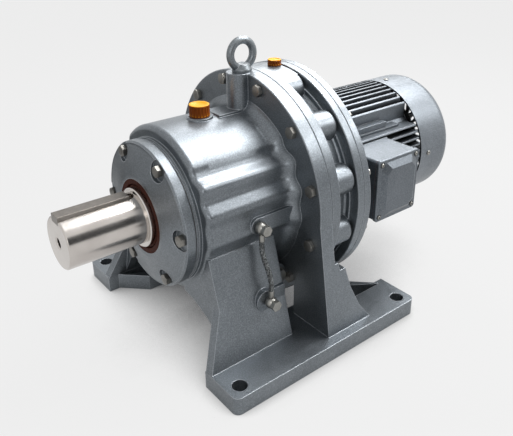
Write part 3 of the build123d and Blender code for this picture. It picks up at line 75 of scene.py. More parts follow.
# Softboxes: name, place, point that it faces, width, height, watts
MIDDLE = (0.0, 0.0, 0.25)
SOFTBOXES = (
    ("overhead_softbox", (-1.1, 0.05, 1.9), (-0.7, 0.05, 0.25), 1.1, 1.5, 56.0),
    ("rear_far_softbox", (-1.2, -1.0, 1.55), MIDDLE, 1.0, 0.7, 18.0),
    ("rear_gauge_softbox", (-1.3, 1.25, 1.45), MIDDLE, 1.0, 0.6, 18.0),
    ("shaft_side_softbox", (1.4, 1.5, 1.2), MIDDLE, 0.9, 0.6, 6.0),
)

# Dark cards: name, place, point that it faces, width, height
DARK_CARDS = (
    ("gauge_side_flag", (-0.1, 1.3, 0.8), (0.25, 0.0, 0.27), 1.6, 0.8),
    ("cover_side_flag", (0.8, -1.08, 0.01), (0.8, -1.08, -1.0), 1.0, 0.9),
)

# For each slot, under a note of what it gives the eye: its real material, then the sRGB colours of
# its darker patches, its lighter patches and the flakes in its paint
FINISHES = {
    # the sand's grain under dull silver, with bright flakes and rubbed corners
    "painted_casting": ("silver_enamel_on_cast_iron", "676D72", "72787D", "C9CED4"),
    # a finer grain, and painted shade that darkens the grooves between the fins
    "painted_motor": ("silver_enamel_on_cast_aluminium", "585E64", "63696F", "B4BAC0"),
    # smooth sheet with crisp edges, and painted shade in its recesses
    "painted_cowl": ("silver_enamel_on_pressed_steel", "666C72", "71777D", "CCD1D7"),
    # as the casting, with slightly brighter flakes
    "painted_eye": ("silver_enamel_on_forged_steel", "666C70", "71777B", "D0D4D8"),
    # long clear bands of light and dark along the shaft
    "turned_steel": ("ground_shaft_steel", "BFB9B4", "CFCAC5"),
    # duller and darker than the ground shaft round it
    "key_steel": ("drawn_key_steel", "7C7772", "8A857F"),
    # pale, clean and even
    "bearing_steel": ("hardened_bearing_steel", "A9A9AB", "BDBDC0"),
    # black oxide that handling has worn to a warm grey
    "dark_bolts": ("blackened_bolt_steel", "75736F", "8A8883"),
    # a thin zinc coat, pale with soft highlights
    "pale_screws": ("zinc_plated_steel", "8B8A86", "A09F9A"),
    # the edges of thin sheets, a plain dark grey
    "core_steel": ("stacked_core_steel", "66666A", "77777B"),
    # painted light: a light top over darker brown walls
    "orange_plastic": ("moulded_amber_nylon", "8A4410", "F6A81C"),
    # dark red-brown with hardly any shine
    "brown_rubber": ("moulded_nitrile_rubber", "3C170C", "4E2212"),
    # dull dark grey, mottled by its fibres
    "gasket_paper": ("fibre_gasket_paper", "34312E", "47433E"),
    # nearly black, with a broad soft sheen
    "black_plastic": ("moulded_black_nylon", "161618", "202023"),
    # a glossy clear wall in front of dark oil
    "gauge_glass": ("clear_vinyl_hose", "2A2D2F", "A2A7A8"),
    # warm bright turns with dark lines between them
    "copper_winding": ("varnished_copper_wire", "6A2E16", "B0602E"),
}


# Small helpers

def linear(code):
    """Linear colour with alpha from an sRGB hex code such as 8A9096."""
    values = [int(code[i:i + 2], 16) / 255 for i in (0, 2, 4)]
    return tuple(v / 12.92 if v <= 0.04045 else ((v + 0.055) / 1.055) ** 2.4
                 for v in values) + (1.0,)


def add_node(tree, kind, inputs=None, links=None, **settings):
    """Adds one node: its settings, the values of its inputs, and links from other nodes."""
    node = tree.nodes.new(kind)
    for name, value in settings.items():
        setattr(node, name, value)
    for name, value in (inputs or {}).items():
        node.inputs[name].default_value = value
    for name, source in (links or {}).items():
        tree.links.new(source, node.inputs[name])
    return node


def new_object(name, data):
    """Object in the scene that holds a mesh, a light or a camera."""
    result = bpy.data.objects.new(name, data)
    bpy.context.scene.collection.objects.link(result)
    return result


def new_material(name):
    """Empty node material with an output, and its Principled shader."""
    material = bpy.data.materials.new(name)
    material.use_nodes = True
    tree = material.node_tree
    tree.nodes.clear()
    shader = add_node(tree, "ShaderNodeBsdfPrincipled")
    add_node(tree, "ShaderNodeOutputMaterial", links={"Surface": shader.outputs["BSDF"]})
    return material, tree, shader


# What the finishes have in common

def grain_pattern(tree, size_mm, detail=2.0, roughness=0.5, stretch=(1.0, 1.0, 1.0)):
    """Soft grains of a real size in millimetres on the piece, as a number from 0 to 1."""
    place = add_node(tree, "ShaderNodeTexCoord").outputs["Object"]
    mapping = add_node(tree, "ShaderNodeMapping", inputs={"Scale": stretch},
                       links={"Vector": place})
    grains = add_node(tree, "ShaderNodeTexNoise", links={"Vector": mapping.outputs["Vector"]},
                      inputs={"Scale": MM_PER_METRE / size_mm, "Detail": detail,
                              "Roughness": roughness})
    return grains.outputs["Fac"]


def patchy_colour(tree, colour, patch_mm, detail=2.0, low=0.3, high=0.7):
    """Colour that drifts between the darker and the lighter tone over patches of a size."""
    patches = add_node(tree, "ShaderNodeMapRange", inputs={"From Min": low, "From Max": high},
                       links={"Value": grain_pattern(tree, patch_mm, detail)})
    blend = add_node(tree, "ShaderNodeMix", data_type="RGBA",
                     inputs={MIX_FIRST: linear(colour.dark), MIX_SECOND: linear(colour.light)},
                     links={"Factor": patches.outputs["Result"]})
    return blend.outputs[MIX_RESULT]


def uneven_sheen(tree, shader, pattern, glossiest, dullest):
    """Roughness that follows a pattern between two values."""
    sheen = add_node(tree, "ShaderNodeMapRange", links={"Value": pattern},
                     inputs={"From Min": 0.3, "From Max": 0.7,
                             "To Min": glossiest, "To Max": dullest})
    tree.links.new(sheen.outputs["Result"], shader.inputs["Roughness"])


def relief_on_edges(tree, shader, edge_mm, *reliefs):
    """Rounds sharp edges by a radius and lays reliefs over them: pattern, depth in mm, strength.

    It returns the normal of the rounded edges alone.
    """
    edges = add_node(tree, "ShaderNodeBevel", samples=6, inputs={"Radius": edge_mm * MM})
    normal = edges.outputs["Normal"]
    for pattern, depth_mm, strength in reliefs:
        bump = add_node(tree, "ShaderNodeBump", links={"Height": pattern, "Normal": normal},
                        inputs={"Distance": depth_mm * MM, "Strength": strength})
        normal = bump.outputs["Normal"]
    tree.links.new(normal, shader.inputs["Normal"])
    return edges.outputs["Normal"]


# Materials

def enamel_on_metal(name, colour, roughness, grain_mm, edge_mm, painted_shade_mm=0.0):
    """Silver-grey sprayed enamel: flakes glint, the metal's grain shows, edges are rubbed bright.

    Recesses narrower than the given reach, in mm, are darkened as painted shade.
    """
    patch_mm, sheen_mm = 90.0, 14.0
    # flakes of about 0.1 mm and sand of about 0.5 mm are both drawn coarser, so that they show
    flake_mm, most_flakes = 2.2, 0.24
    swell_mm, swell_depth_mm, grain_depth_mm = grain_mm * 6, 0.3, 0.25
    most_rubbed = 0.45
    material, tree, shader = new_material(name)
    # the dark grey beside the flake colour is a painted shade colour for narrow recesses
    flake, painted_shade_colour = linear(colour.flake), linear("1C1E20")
    base = patchy_colour(tree, colour, patch_mm, detail=3.0, low=0.35, high=0.65)
    glints = add_node(tree, "ShaderNodeMapRange",
                      links={"Value": grain_pattern(tree, flake_mm, roughness=0.75)},
                      inputs={"From Min": 0.42, "From Max": 0.72, "To Max": most_flakes})
    sprinkled = add_node(tree, "ShaderNodeMix", data_type="RGBA", inputs={MIX_SECOND: flake},
                         links={"Factor": glints.outputs["Result"], MIX_FIRST: base})
    edges = relief_on_edges(tree, shader, edge_mm,
                            (grain_pattern(tree, swell_mm), swell_depth_mm, 0.2),
                            (grain_pattern(tree, grain_mm, detail=3.0, roughness=0.65),
                             grain_depth_mm, 0.45))
    # where the rounded normal turns from the flat one, there is an edge
    flat = add_node(tree, "ShaderNodeNewGeometry").outputs["Normal"]
    turn = add_node(tree, "ShaderNodeVectorMath", operation="DOT_PRODUCT",
                    links={0: edges, 1: flat})
    rubbed = add_node(tree, "ShaderNodeMapRange", links={"Value": turn.outputs["Value"]},
                      inputs={"From Min": 0.995, "From Max": 0.9, "To Max": most_rubbed})
    painted = add_node(tree, "ShaderNodeMix", data_type="RGBA", inputs={MIX_SECOND: flake},
                       links={"Factor": rubbed.outputs["Result"],
                              MIX_FIRST: sprinkled.outputs[MIX_RESULT]})
    # painted shade: ambient occlusion darkens the colour in narrow recesses, where shade falls
    if painted_shade_mm:
        near = add_node(tree, "ShaderNodeAmbientOcclusion", samples=8,
                        inputs={"Distance": painted_shade_mm * MM})
        painted_shade_mask = add_node(tree, "ShaderNodeMapRange", links={"Value": near.outputs["AO"]},
                            inputs={"From Min": 0.25, "From Max": 0.8})
        painted = add_node(tree, "ShaderNodeMix", data_type="RGBA", inputs={MIX_FIRST: painted_shade_colour},
                           links={"Factor": painted_shade_mask.outputs["Result"],
                                  MIX_SECOND: painted.outputs[MIX_RESULT]})
    tree.links.new(painted.outputs[MIX_RESULT], shader.inputs["Base Color"])
    uneven_sheen(tree, shader, grain_pattern(tree, sheen_mm), roughness - 0.04, roughness + 0.05)
    shader.inputs["Metallic"].default_value = 0.78
    shader.inputs["Specular IOR Level"].default_value = 0.9
    return material


def turned_steel(name, colour, roughness):
    """Ground and polished steel: long clear reflections, with faint lines round the shaft."""
    material, tree, shader = new_material(name)
    # grains stretched round the shaft; real grinding lines are under 0.1 mm, too fine to show
    lines = grain_pattern(tree, 0.8, detail=3.0, stretch=(1.0, 0.02, 0.02))
    tree.links.new(patchy_colour(tree, colour, patch_mm=60.0), shader.inputs["Base Color"])
    uneven_sheen(tree, shader, lines, roughness - 0.03, roughness + 0.04)
    relief_on_edges(tree, shader, 0.8, (lines, 0.01, 0.1))
    shader.inputs["Metallic"].default_value = 1.0
    return material


def plain_metal(name, colour, roughness, grain_mm, depth_mm):
    """Blackened, plated or ground steel: even metal, its fine uneven sheen drawn coarse to show."""
    material, tree, shader = new_material(name)
    grain = grain_pattern(tree, grain_mm)
    tree.links.new(patchy_colour(tree, colour, patch_mm=12.0), shader.inputs["Base Color"])
    uneven_sheen(tree, shader, grain, roughness - 0.06, roughness + 0.08)
    relief_on_edges(tree, shader, 0.5, (grain, depth_mm, 0.4))
    shader.inputs["Metallic"].default_value = 0.9
    return material


def moulded_plastic(name, colour, roughness, gloss):
    """Moulded plastic, rubber or pressed fibre: even colour, its texture drawn coarse to show."""
    material, tree, shader = new_material(name)
    grain = grain_pattern(tree, size_mm=1.0)
    tree.links.new(patchy_colour(tree, colour, patch_mm=8.0), shader.inputs["Base Color"])
    uneven_sheen(tree, shader, grain, roughness - 0.05, roughness + 0.07)
    relief_on_edges(tree, shader, 0.4, (grain, 0.1, 0.3))
    shader.inputs["Specular IOR Level"].default_value = gloss
    return material


def amber_plastic(name, colour):
    """Moulded amber nylon with painted light: its top is lighter and its ribbed wall darker, by
    which way the surface faces.
    """
    material, tree, shader = new_material(name)
    normal = add_node(tree, "ShaderNodeNewGeometry").outputs["Normal"]
    upward = add_node(tree, "ShaderNodeSeparateXYZ", links={"Vector": normal})
    # painted light: the colour turns from the dark tone to the light tone as the surface faces up
    painted_top_light = add_node(tree, "ShaderNodeMapRange", links={"Value": upward.outputs["Z"]},
                   inputs={"From Min": 0.1, "From Max": 0.9})
    blend = add_node(tree, "ShaderNodeMix", data_type="RGBA",
                     inputs={MIX_FIRST: linear(colour.dark), MIX_SECOND: linear(colour.light)},
                     links={"Factor": painted_top_light.outputs["Result"]})
    tree.links.new(blend.outputs[MIX_RESULT], shader.inputs["Base Color"])
    relief_on_edges(tree, shader, 0.4, (grain_pattern(tree, 0.8), 0.1, 0.3))
    shader.inputs["Roughness"].default_value = 0.42
    shader.inputs["Specular IOR Level"].default_value = 0.15
    return material


def clear_hose(name, colour):
    """Clear vinyl hose of the oil gauge: dark oil streaks inside and a glossy skin."""
    material, tree, shader = new_material(name)
    pattern = grain_pattern(tree, 3.0, detail=3.0, roughness=0.7, stretch=(1.0, 1.0, 0.6))
    streaks = add_node(tree, "ShaderNodeMapRange", links={"Value": pattern},
                       inputs={"From Min": 0.4, "From Max": 0.62}).outputs["Result"]
    blend = add_node(tree, "ShaderNodeMix", data_type="RGBA", links={"Factor": streaks},
                     inputs={MIX_FIRST: linear(colour.dark), MIX_SECOND: linear(colour.light)})
    tree.links.new(blend.outputs[MIX_RESULT], shader.inputs["Base Color"])
    sheen = add_node(tree, "ShaderNodeMapRange", links={"Value": streaks},
                     inputs={"To Min": 0.12, "To Max": 0.3})
    tree.links.new(sheen.outputs["Result"], shader.inputs["Roughness"])
    shader.inputs["Transmission Weight"].default_value = 0.45
    shader.inputs["IOR"].default_value = 1.49
    return material


def copper_winding(name, colour):
    """Varnished copper wire, laid in turns beside each other."""
    turn_mm, turn_depth_mm = 1.2, 0.5
    material, tree, shader = new_material(name)
    place = add_node(tree, "ShaderNodeTexCoord").outputs["Object"]
    wave = add_node(tree, "ShaderNodeTexWave", wave_type="RINGS", rings_direction="X",
                    links={"Vector": place},
                    inputs={"Scale": MM_PER_METRE / turn_mm / 2 / math.pi, "Distortion": 2.0,
                            "Detail": 1.0}).outputs["Fac"]
    blend = add_node(tree, "ShaderNodeMix", data_type="RGBA", links={"Factor": wave},
                     inputs={MIX_FIRST: linear(colour.dark), MIX_SECOND: linear(colour.light)})
    tree.links.new(blend.outputs[MIX_RESULT], shader.inputs["Base Color"])
    bump = add_node(tree, "ShaderNodeBump", links={"Height": wave},
                    inputs={"Distance": turn_depth_mm * MM, "Strength": 0.6})
    tree.links.new(bump.outputs["Normal"], shader.inputs["Normal"])
    shader.inputs["Metallic"].default_value = 0.8
    shader.inputs["Roughness"].default_value = 0.35
    return material


# Settings

class Tone(bpy.types.PropertyGroup):
    """Colours of one finish, as sRGB hex codes."""
    dark: bpy.props.StringProperty(
        name="Dark", description="Colour of the darker patches", default="808080")
    light: bpy.props.StringProperty(
        name="Light", description="Colour of the lighter patches", default="909090")
    flake: bpy.props.StringProperty(
        name="Flake", description="Colour of the paint's bright flakes", default="C8CCD0")


class FinishSettings(bpy.types.PropertyGroup):
    """Roughness and grain of the finishes."""
    paint_roughness: bpy.props.FloatProperty(
        name="Paint roughness", description="How dull the enamel is",
        default=0.38, min=0.05, max=1.0, subtype="FACTOR")
    shaft_roughness: bpy.props.FloatProperty(
        name="Shaft roughness", description="How dull the turned steel is",
        default=0.2, min=0.05, max=1.0, subtype="FACTOR")
    cast_grain: bpy.props.FloatProperty(
        name="Cast grain", description="Grain of the sand casting, in millimetres",
        default=2.4, min=0.5, max=10.0)
    cast_edge: bpy.props.FloatProperty(
        name="Cast edge", description="Rounding of cast edges, in millimetres",
        default=2.0, min=0.0, max=6.0)


class FastenerSettings(bpy.types.PropertyGroup):
    """Sizes of the screws, bolts and plugs, in metres."""
    flange_count: bpy.props.IntProperty(
        name="Flange bolts", description="Bolts round the big flange", default=12, min=3)
    flange_flats: bpy.props.FloatProperty(
        name="Flange bolt flats", description="Across the flats of the big bolts",
        default=19 * MM, unit="LENGTH")
    cover_count: bpy.props.IntProperty(
        name="Cover bolts", description="Bolts of the front cover", default=6, min=3)
    cover_flats: bpy.props.FloatProperty(
        name="Cover bolt flats", description="Across the flats of the cover bolts",
        default=18 * MM, unit="LENGTH")
    motor_count: bpy.props.IntProperty(
        name="Motor screws", description="Screws of the motor flange", default=12, min=3)
    motor_flats: bpy.props.FloatProperty(
        name="Motor screw flats", description="Across the flats of the motor screws",
        default=13 * MM, unit="LENGTH")
    cowl_count: bpy.props.IntProperty(
        name="Cowl screws", description="Screws round the fan cowl", default=4, min=2)
    cowl_head: bpy.props.FloatProperty(
        name="Cowl screw head", description="Head diameter of the cowl screws",
        default=10 * MM, unit="LENGTH")
    lid_head: bpy.props.FloatProperty(
        name="Lid screw head", description="Head diameter of the lid screws",
        default=8 * MM, unit="LENGTH")
    plug_ribs: bpy.props.IntProperty(
        name="Plug ribs", description="Ribs round the filler plug", default=20, min=6)


class StageSettings(bpy.types.PropertyGroup):
    """Camera and background."""
    camera_place: bpy.props.FloatVectorProperty(
        name="Camera", description="Place of the camera", subtype="XYZ", unit="LENGTH",
        default=(0.6391, 0.8748, 0.7507))
    azimuth: bpy.props.FloatProperty(
        name="Azimuth", description="Turn of the camera round the object, in degrees",
        default=140.56)
    elevation: bpy.props.FloatProperty(
        name="Elevation", description="Angle of the camera above the floor, in degrees",
        default=24.06)
    lens: bpy.props.FloatProperty(
        name="Lens", description="Focal length for a 36 mm sensor, in millimetres",
        default=43.83)
    shift: bpy.props.FloatVectorProperty(
        name="Shift", description="Sideways and upward shift of the picture", size=2,
        default=(-0.0360, -0.0862))
    background: bpy.props.StringProperty(
        name="Background", description="Colour behind the object", default="F2F2F2")


def tone(slot):
    """Colours of one finish from the scene's settings."""
    return getattr(bpy.context.scene, "gm_tone_" + slot)


def make_material(slot):
    """Material of one finish."""
    finish = bpy.context.scene.gm_finish
    name, colour = FINISHES[slot][0], tone(slot)
    paint, cast_grain = finish.paint_roughness, finish.cast_grain
    # die castings and sheet are smoother than sand castings and have sharper edges; their recesses
    # get painted shade within 22 mm
    smooth_grain, painted_shade_mm = cast_grain / 2, 22.0
    if slot in ("painted_casting", "painted_eye"):
        return enamel_on_metal(name, colour, paint, cast_grain, finish.cast_edge)
    if slot == "painted_motor":
        return enamel_on_metal(name, colour, paint, smooth_grain, 1.0, painted_shade_mm)
    if slot == "painted_cowl":
        return enamel_on_metal(name, colour, paint, smooth_grain, 0.3, painted_shade_mm)
    if slot == "turned_steel":
        return turned_steel(name, colour, finish.shaft_roughness)
    if slot in ("key_steel", "bearing_steel", "core_steel", "pale_screws"):
        return plain_metal(name, colour, roughness=0.32, grain_mm=1.0, depth_mm=0.05)
    if slot == "dark_bolts":
        return plain_metal(name, colour, roughness=0.42, grain_mm=1.5, depth_mm=0.1)
    if slot == "orange_plastic":
        return amber_plastic(name, colour)
    if slot == "gauge_glass":
        return clear_hose(name, colour)
    if slot == "copper_winding":
        return copper_winding(name, colour)
    if slot == "brown_rubber":
        return moulded_plastic(name, colour, roughness=0.6, gloss=0.12)
    return moulded_plastic(name, colour, roughness=0.55, gloss=0.4)


MATERIALS = {}


def material_for(slot):
    """Material of one finish, made once."""
    if slot not in MATERIALS:
        MATERIALS[slot] = make_material(slot)
    return MATERIALS[slot]


# Mesh helpers

def object_from(name, build):
    """Object whose mesh a function builds in place, in metres."""
    mesh = bpy.data.meshes.new(name)
    data = bmesh.new()
    build(data)
    bmesh.ops.remove_doubles(data, verts=data.verts, dist=MERGE_GAP)
    bmesh.ops.recalc_face_normals(data, faces=data.faces)
    data.to_mesh(mesh)
    data.free()
    return new_object(name, mesh)


def skin(data, rings):
    """Faces between rings of vertices, where a ring on the axis is one vertex many times."""
    steps = len(rings[0])
    for first, second in zip(rings, rings[1:]):
        for i in range(steps):
            j = (i + 1) % steps
            corners = []
            for vertex in (first[i], first[j], second[j], second[i]):
                if vertex not in corners:
                    corners.append(vertex)
            if len(corners) > 2:
                data.faces.new(corners)


def lathe(data, profile, steps):
    """Closed solid turned about the X axis from (x, radius) points that start and end on it."""
    rings = []
    for x, radius in profile:
        if radius < ON_AXIS:
            rings.append([data.verts.new((x, 0, 0))] * steps)
            continue
        turn = [2 * math.pi * i / steps for i in range(steps)]
        rings.append([data.verts.new((x, radius * math.cos(a), radius * math.sin(a)))
                      for a in turn])
    skin(data, rings)


def hex_head(data, flats, height, low_x, way):
    """Hexagon head on the X axis, its top corners turned off at 30 degrees, facing +X or -X."""
    steps, chamfer = 48, math.radians(30)
    rim, top_share = 0.15 * MM, 0.94
    across = flats / 2
    corner = across / math.cos(math.pi / 6)
    drop = (corner - across) * math.tan(chamfer)
    foot = low_x if way > 0 else low_x + height
    levels = [[], [], []]
    for i in range(steps):
        angle = 2 * math.pi * i / steps
        local = (angle + math.pi / 6) % (math.pi / 3) - math.pi / 6
        reach = across / math.cos(local)
        fall = (reach - across) / (corner - across) * drop
        points = ((0.0, reach), (height - rim - fall, reach), (height, across * top_share))
        for level, (rise, radius) in zip(levels, points):
            level.append(data.verts.new((foot + way * rise, radius * math.cos(angle),
                                         radius * math.sin(angle))))
    skin(data, levels)
    data.faces.new(levels[-1])
    data.faces.new(list(reversed(levels[0])))


def hexagon_screw(data, head_top, seat, flats, shank, tip):
    """Hexagon screw on the X axis: head, round washer face and shank with a chamfered tip."""
    washer_rise, washer_sunk, washer_radius = 0.4 * MM, 0.3 * MM, flats * 0.47
    chamfer = 1.2 * MM
    way = 1 if head_top > seat else -1
    washer_face = seat + way * washer_rise
    hex_head(data, flats, abs(head_top - washer_face), min(head_top, washer_face), way)
    lathe(data, [(seat - way * washer_sunk, 0), (seat - way * washer_sunk, washer_radius),
                 (washer_face, washer_radius), (washer_face, 0)], steps=36)
    lathe(data, [(tip, 0), (tip, shank - chamfer), (tip + way * chamfer, shank), (seat, shank),
                 (seat, 0)], steps=28)


def domed_screw(data, top, seat, head, shank, tip):
    """Round-head screw on the X axis with a domed top and a cross recess pressed into it."""
    arcs, wall_share, foot_share = 8, 0.35, 0.97
    rise = top - seat
    dome = []
    for i in range(arcs + 1):
        turn = math.pi / 2 * i / arcs
        dome.append((seat + rise * wall_share + rise * (1 - wall_share) * math.sin(turn),
                     head * math.cos(turn)))
    dome[-1] = (top, 0)
    lathe(data, [(tip, 0), (tip, shank), (seat, shank), (seat, head * foot_share)] + dome,
          steps=32)
    slot_length, slot_half, slot_depth = head * 1.1, head * 0.12, rise * 0.45
    for vertex in data.verts:
        across, along = abs(vertex.co.y), abs(vertex.co.z)
        in_slot = min(across, along) < slot_half and max(across, along) < slot_length / 2
        if in_slot and vertex.co.x > top - slot_depth:
            vertex.co.x = top - slot_depth


def ribbed_cap(data, centre, foot, top, radius, ribs, shank, tip):
    """Upright screw cap: ribbed wall, smooth rims, a slightly dished top and a shank below."""
    steps, depth, sharpness = ribs * 8, 1.3 * MM, 0.7
    # height, radius, and how much of the ribs' depth is cut there
    levels = ((tip, shank, 0.0),
              (foot, shank, 0.0),
              (foot, radius * 0.96, 0.0),
              (foot + 0.6 * MM, radius, 0.0),
              (foot + 2.2 * MM, radius, 0.0),
              (foot + 3.0 * MM, radius, 1.0),
              (top - 3.2 * MM, radius, 1.0),
              (top - 2.4 * MM, radius, 0.0),
              (top - 1.2 * MM, radius, 0.0),
              (top - 0.3 * MM, radius - 0.4 * MM, 0.0),
              (top, radius - 1.3 * MM, 0.0),
              (top, radius * 0.72, 0.0),
              (top - 0.8 * MM, radius * 0.66, 0.0),
              (top - 0.8 * MM, 0.0, 0.0))
    rings = []
    for height, reach, share in levels:
        if reach == 0.0:
            rings.append([data.verts.new((centre, 0, height))] * steps)
            continue
        ring = []
        for i in range(steps):
            angle = 2 * math.pi * i / steps
            groove = max(0.0, math.cos(ribs * angle)) ** sharpness * depth * share
            ring.append(data.verts.new((centre + (reach - groove) * math.cos(angle),
                                        (reach - groove) * math.sin(angle), height)))
        rings.append(ring)
    data.faces.new(list(reversed(rings[0])))
    skin(data, rings)


def finished(piece, body, slot, *nodes):
    """Gives a piece its finish and its body, and hides the solid parts that it stands for."""
    piece.data.materials.clear()
    piece.data.materials.append(material_for(slot))
    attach(piece, body)
    if nodes:
        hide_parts(*nodes)
    return piece


def smooth(piece, angle=35.0):
    """Smooth shading that keeps edges sharper than an angle."""
    for polygon in piece.data.polygons:
        polygon.use_smooth = True
    piece.data.set_sharp_from_angle(angle=math.radians(angle))
    return piece


# Geometry node trees

def tree_for_copies(name, *sizes):
    """A tree and its entry, with named inputs for the piece to copy, its sizes and its finish."""
    tree = bpy.data.node_groups.new(name, "GeometryNodeTree")
    inputs = (("Geometry", "Geometry"), ("Fastener", "Object")) + sizes + (("Finish", "Material"),)
    for label, kind in inputs:
        tree.interface.new_socket(label, in_out="INPUT", socket_type="NodeSocket" + kind)
    tree.interface.new_socket("Geometry", in_out="OUTPUT", socket_type="NodeSocketGeometry")
    return tree, add_node(tree, "NodeGroupInput")


def copies_on(tree, entry, points, **links):
    """Ends a tree: the piece on every point, made real geometry, with its material."""
    source = add_node(tree, "GeometryNodeObjectInfo", links={"Object": entry.outputs["Fastener"]})
    copies = add_node(tree, "GeometryNodeInstanceOnPoints",
                      links={"Points": points, "Instance": source.outputs["Geometry"], **links})
    real = add_node(tree, "GeometryNodeRealizeInstances", links={"Geometry": copies.outputs[0]})
    painted = add_node(tree, "GeometryNodeSetMaterial",
                       links={"Geometry": real.outputs[0], "Material": entry.outputs["Finish"]})
    add_node(tree, "NodeGroupOutput", links={"Geometry": painted.outputs[0]})


def ring_tree():
    """Tree that sets copies of one piece, drawn on the X axis, round the shaft line."""
    tree, entry = tree_for_copies("Ring of fasteners", ("Count", "Int"), ("Radius", "Float"),
                                  ("First angle", "Float"), ("Centre height", "Float"))
    count, radius = entry.outputs["Count"], entry.outputs["Radius"]
    points = add_node(tree, "GeometryNodePoints", links={"Count": count})
    index = add_node(tree, "GeometryNodeInputIndex")
    step = add_node(tree, "ShaderNodeMath", operation="DIVIDE", inputs={0: 2 * math.pi},
                    links={1: count})
    turned = add_node(tree, "ShaderNodeMath", operation="MULTIPLY_ADD",
                      links={0: index.outputs[0], 1: step.outputs[0],
                             2: entry.outputs["First angle"]}).outputs[0]
    across = add_node(tree, "ShaderNodeMath", operation="COSINE", links={0: turned})
    upward = add_node(tree, "ShaderNodeMath", operation="SINE", links={0: turned})
    y = add_node(tree, "ShaderNodeMath", operation="MULTIPLY",
                 links={0: across.outputs[0], 1: radius})
    z = add_node(tree, "ShaderNodeMath", operation="MULTIPLY_ADD",
                 links={0: upward.outputs[0], 1: radius, 2: entry.outputs["Centre height"]})
    place = add_node(tree, "ShaderNodeCombineXYZ", links={"Y": y.outputs[0], "Z": z.outputs[0]})
    spread = add_node(tree, "GeometryNodeSetPosition",
                      links={"Geometry": points.outputs[0], "Position": place.outputs[0]})
    turn = add_node(tree, "ShaderNodeCombineXYZ", links={"X": turned})
    rotation = add_node(tree, "FunctionNodeEulerToRotation", links={"Euler": turn.outputs[0]})
    copies_on(tree, entry, spread.outputs[0], Rotation=rotation.outputs[0])
    return tree


def corner_tree():
    """Tree that sets copies of one piece, drawn on the Y axis, at a rectangle's four corners."""
    tree, entry = tree_for_copies("Corner fasteners", ("Width", "Float"), ("Height", "Float"),
                                  ("Centre", "Vector"))
    grid = add_node(tree, "GeometryNodeMeshGrid", inputs={"Vertices X": 2, "Vertices Y": 2},
                    links={"Size X": entry.outputs["Width"], "Size Y": entry.outputs["Height"]})
    stood = add_node(tree, "GeometryNodeTransform", inputs={"Rotation": (math.pi / 2, 0, 0)},
                     links={"Geometry": grid.outputs["Mesh"],
                            "Translation": entry.outputs["Centre"]})
    copies_on(tree, entry, stood.outputs[0])
    return tree


def grown(name, tree, values):
    """Plain mesh object made by a geometry node tree from the values of its named inputs."""
    carrier = new_object(name + "_carrier", bpy.data.meshes.new(name + "_carrier"))
    modifier = carrier.modifiers.new("Growth", "NODES")
    modifier.node_group = tree
    sockets = {item.name: item.identifier for item in tree.interface.items_tree
               if item.item_type == "SOCKET" and item.in_out == "INPUT"}
    for label, value in values.items():
        modifier[sockets[label]] = value
    bpy.context.view_layer.update()
    depsgraph = bpy.context.evaluated_depsgraph_get()
    mesh = bpy.data.meshes.new_from_object(carrier.evaluated_get(depsgraph), depsgraph=depsgraph)
    mesh.name = name
    result = new_object(name, mesh)
    carrier.modifiers.remove(modifier)
    bpy.data.objects.remove(carrier)
    return result


def copied(name, template, tree, slot, **values):
    """Copies of one template, which is removed afterwards."""
    result = grown(name, tree, {"Fastener": template, "Finish": material_for(slot), **values})
    bpy.data.objects.remove(template)
    if len(result.data.vertices) == 0:
        raise RuntimeError("the fasteners came out empty: " + name)
    return smooth(result)


def ring_of(name, template, slot, count, radius, first_angle):
    """Ring of copies of one template round the shaft line."""
    return copied(name, template, ring_tree(), slot,
                  **{"Count": count, "Radius": radius, "First angle": math.radians(first_angle),
                     "Centre height": AXIS_Z})


def hexagon_ring(name, node, slot, count, flats, head, shank, circle, first_angle, way=1):
    """Ring of hexagon screws in the place of a node's, with their heads towards +X or -X."""
    low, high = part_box(node)
    top, tip = (high.x, low.x) if way > 0 else (low.x, high.x)
    template = object_from(name + "_template", lambda data: hexagon_screw(
        data, top, top - way * head, flats, shank, tip))
    return ring_of(name + "_ring", template, slot, count, circle, first_angle)


# Operators

class GM_OT_paint_parts(bpy.types.Operator):
    """Give every solid part the finish of its slot"""
    bl_idname = "gm.paint_parts"
    bl_label = "Paint parts"

    def execute(self, context):
        slots = {entry["node"]: entry["material_slot"] for entry in frame["record"]["subparts"]}
        for name, node in NODES.items():
            node.data.materials.clear()
            node.data.materials.append(material_for(slots[name]))
        return {"FINISHED"}


class GM_OT_flange_bolts(bpy.types.Operator):
    """Hexagon bolts through the big flange"""
    bl_idname = "gm.flange_bolts"
    bl_label = "Flange bolts"

    def execute(self, context):
        sizes = context.scene.gm_fasteners
        ring = hexagon_ring("flange_bolt", "flange_bolts", "dark_bolts", sizes.flange_count,
                            sizes.flange_flats, head=8 * MM, shank=6 * MM, circle=199 * MM,
                            first_angle=15.0)
        finished(ring, HOUSING, "dark_bolts", "flange_bolts")
        return {"FINISHED"}


class GM_OT_cover_bolts(bpy.types.Operator):
    """Hexagon bolts of the front cover, each in its spot-faced seat"""
    bl_idname = "gm.cover_bolts"
    bl_label = "Cover bolts"

    def execute(self, context):
        sizes = context.scene.gm_fasteners
        ring = hexagon_ring("cover_bolt", "cover_bolts", "dark_bolts", sizes.cover_count,
                            sizes.cover_flats, head=9 * MM, shank=6 * MM, circle=116 * MM,
                            first_angle=0.0)
        finished(ring, HOUSING, "dark_bolts", "cover_bolts")
        return {"FINISHED"}


class GM_OT_motor_screws(bpy.types.Operator):
    """Plated screws behind the motor flange"""
    bl_idname = "gm.motor_screws"
    bl_label = "Motor screws"

    def execute(self, context):
        sizes = context.scene.gm_fasteners
        ring = hexagon_ring("motor_screw", "motor_screws", "pale_screws", sizes.motor_count,
                            sizes.motor_flats, head=6 * MM, shank=4 * MM, circle=206 * MM,
                            first_angle=15.0, way=-1)
        finished(ring, HOUSING, "pale_screws", "motor_screws")
        return {"FINISHED"}


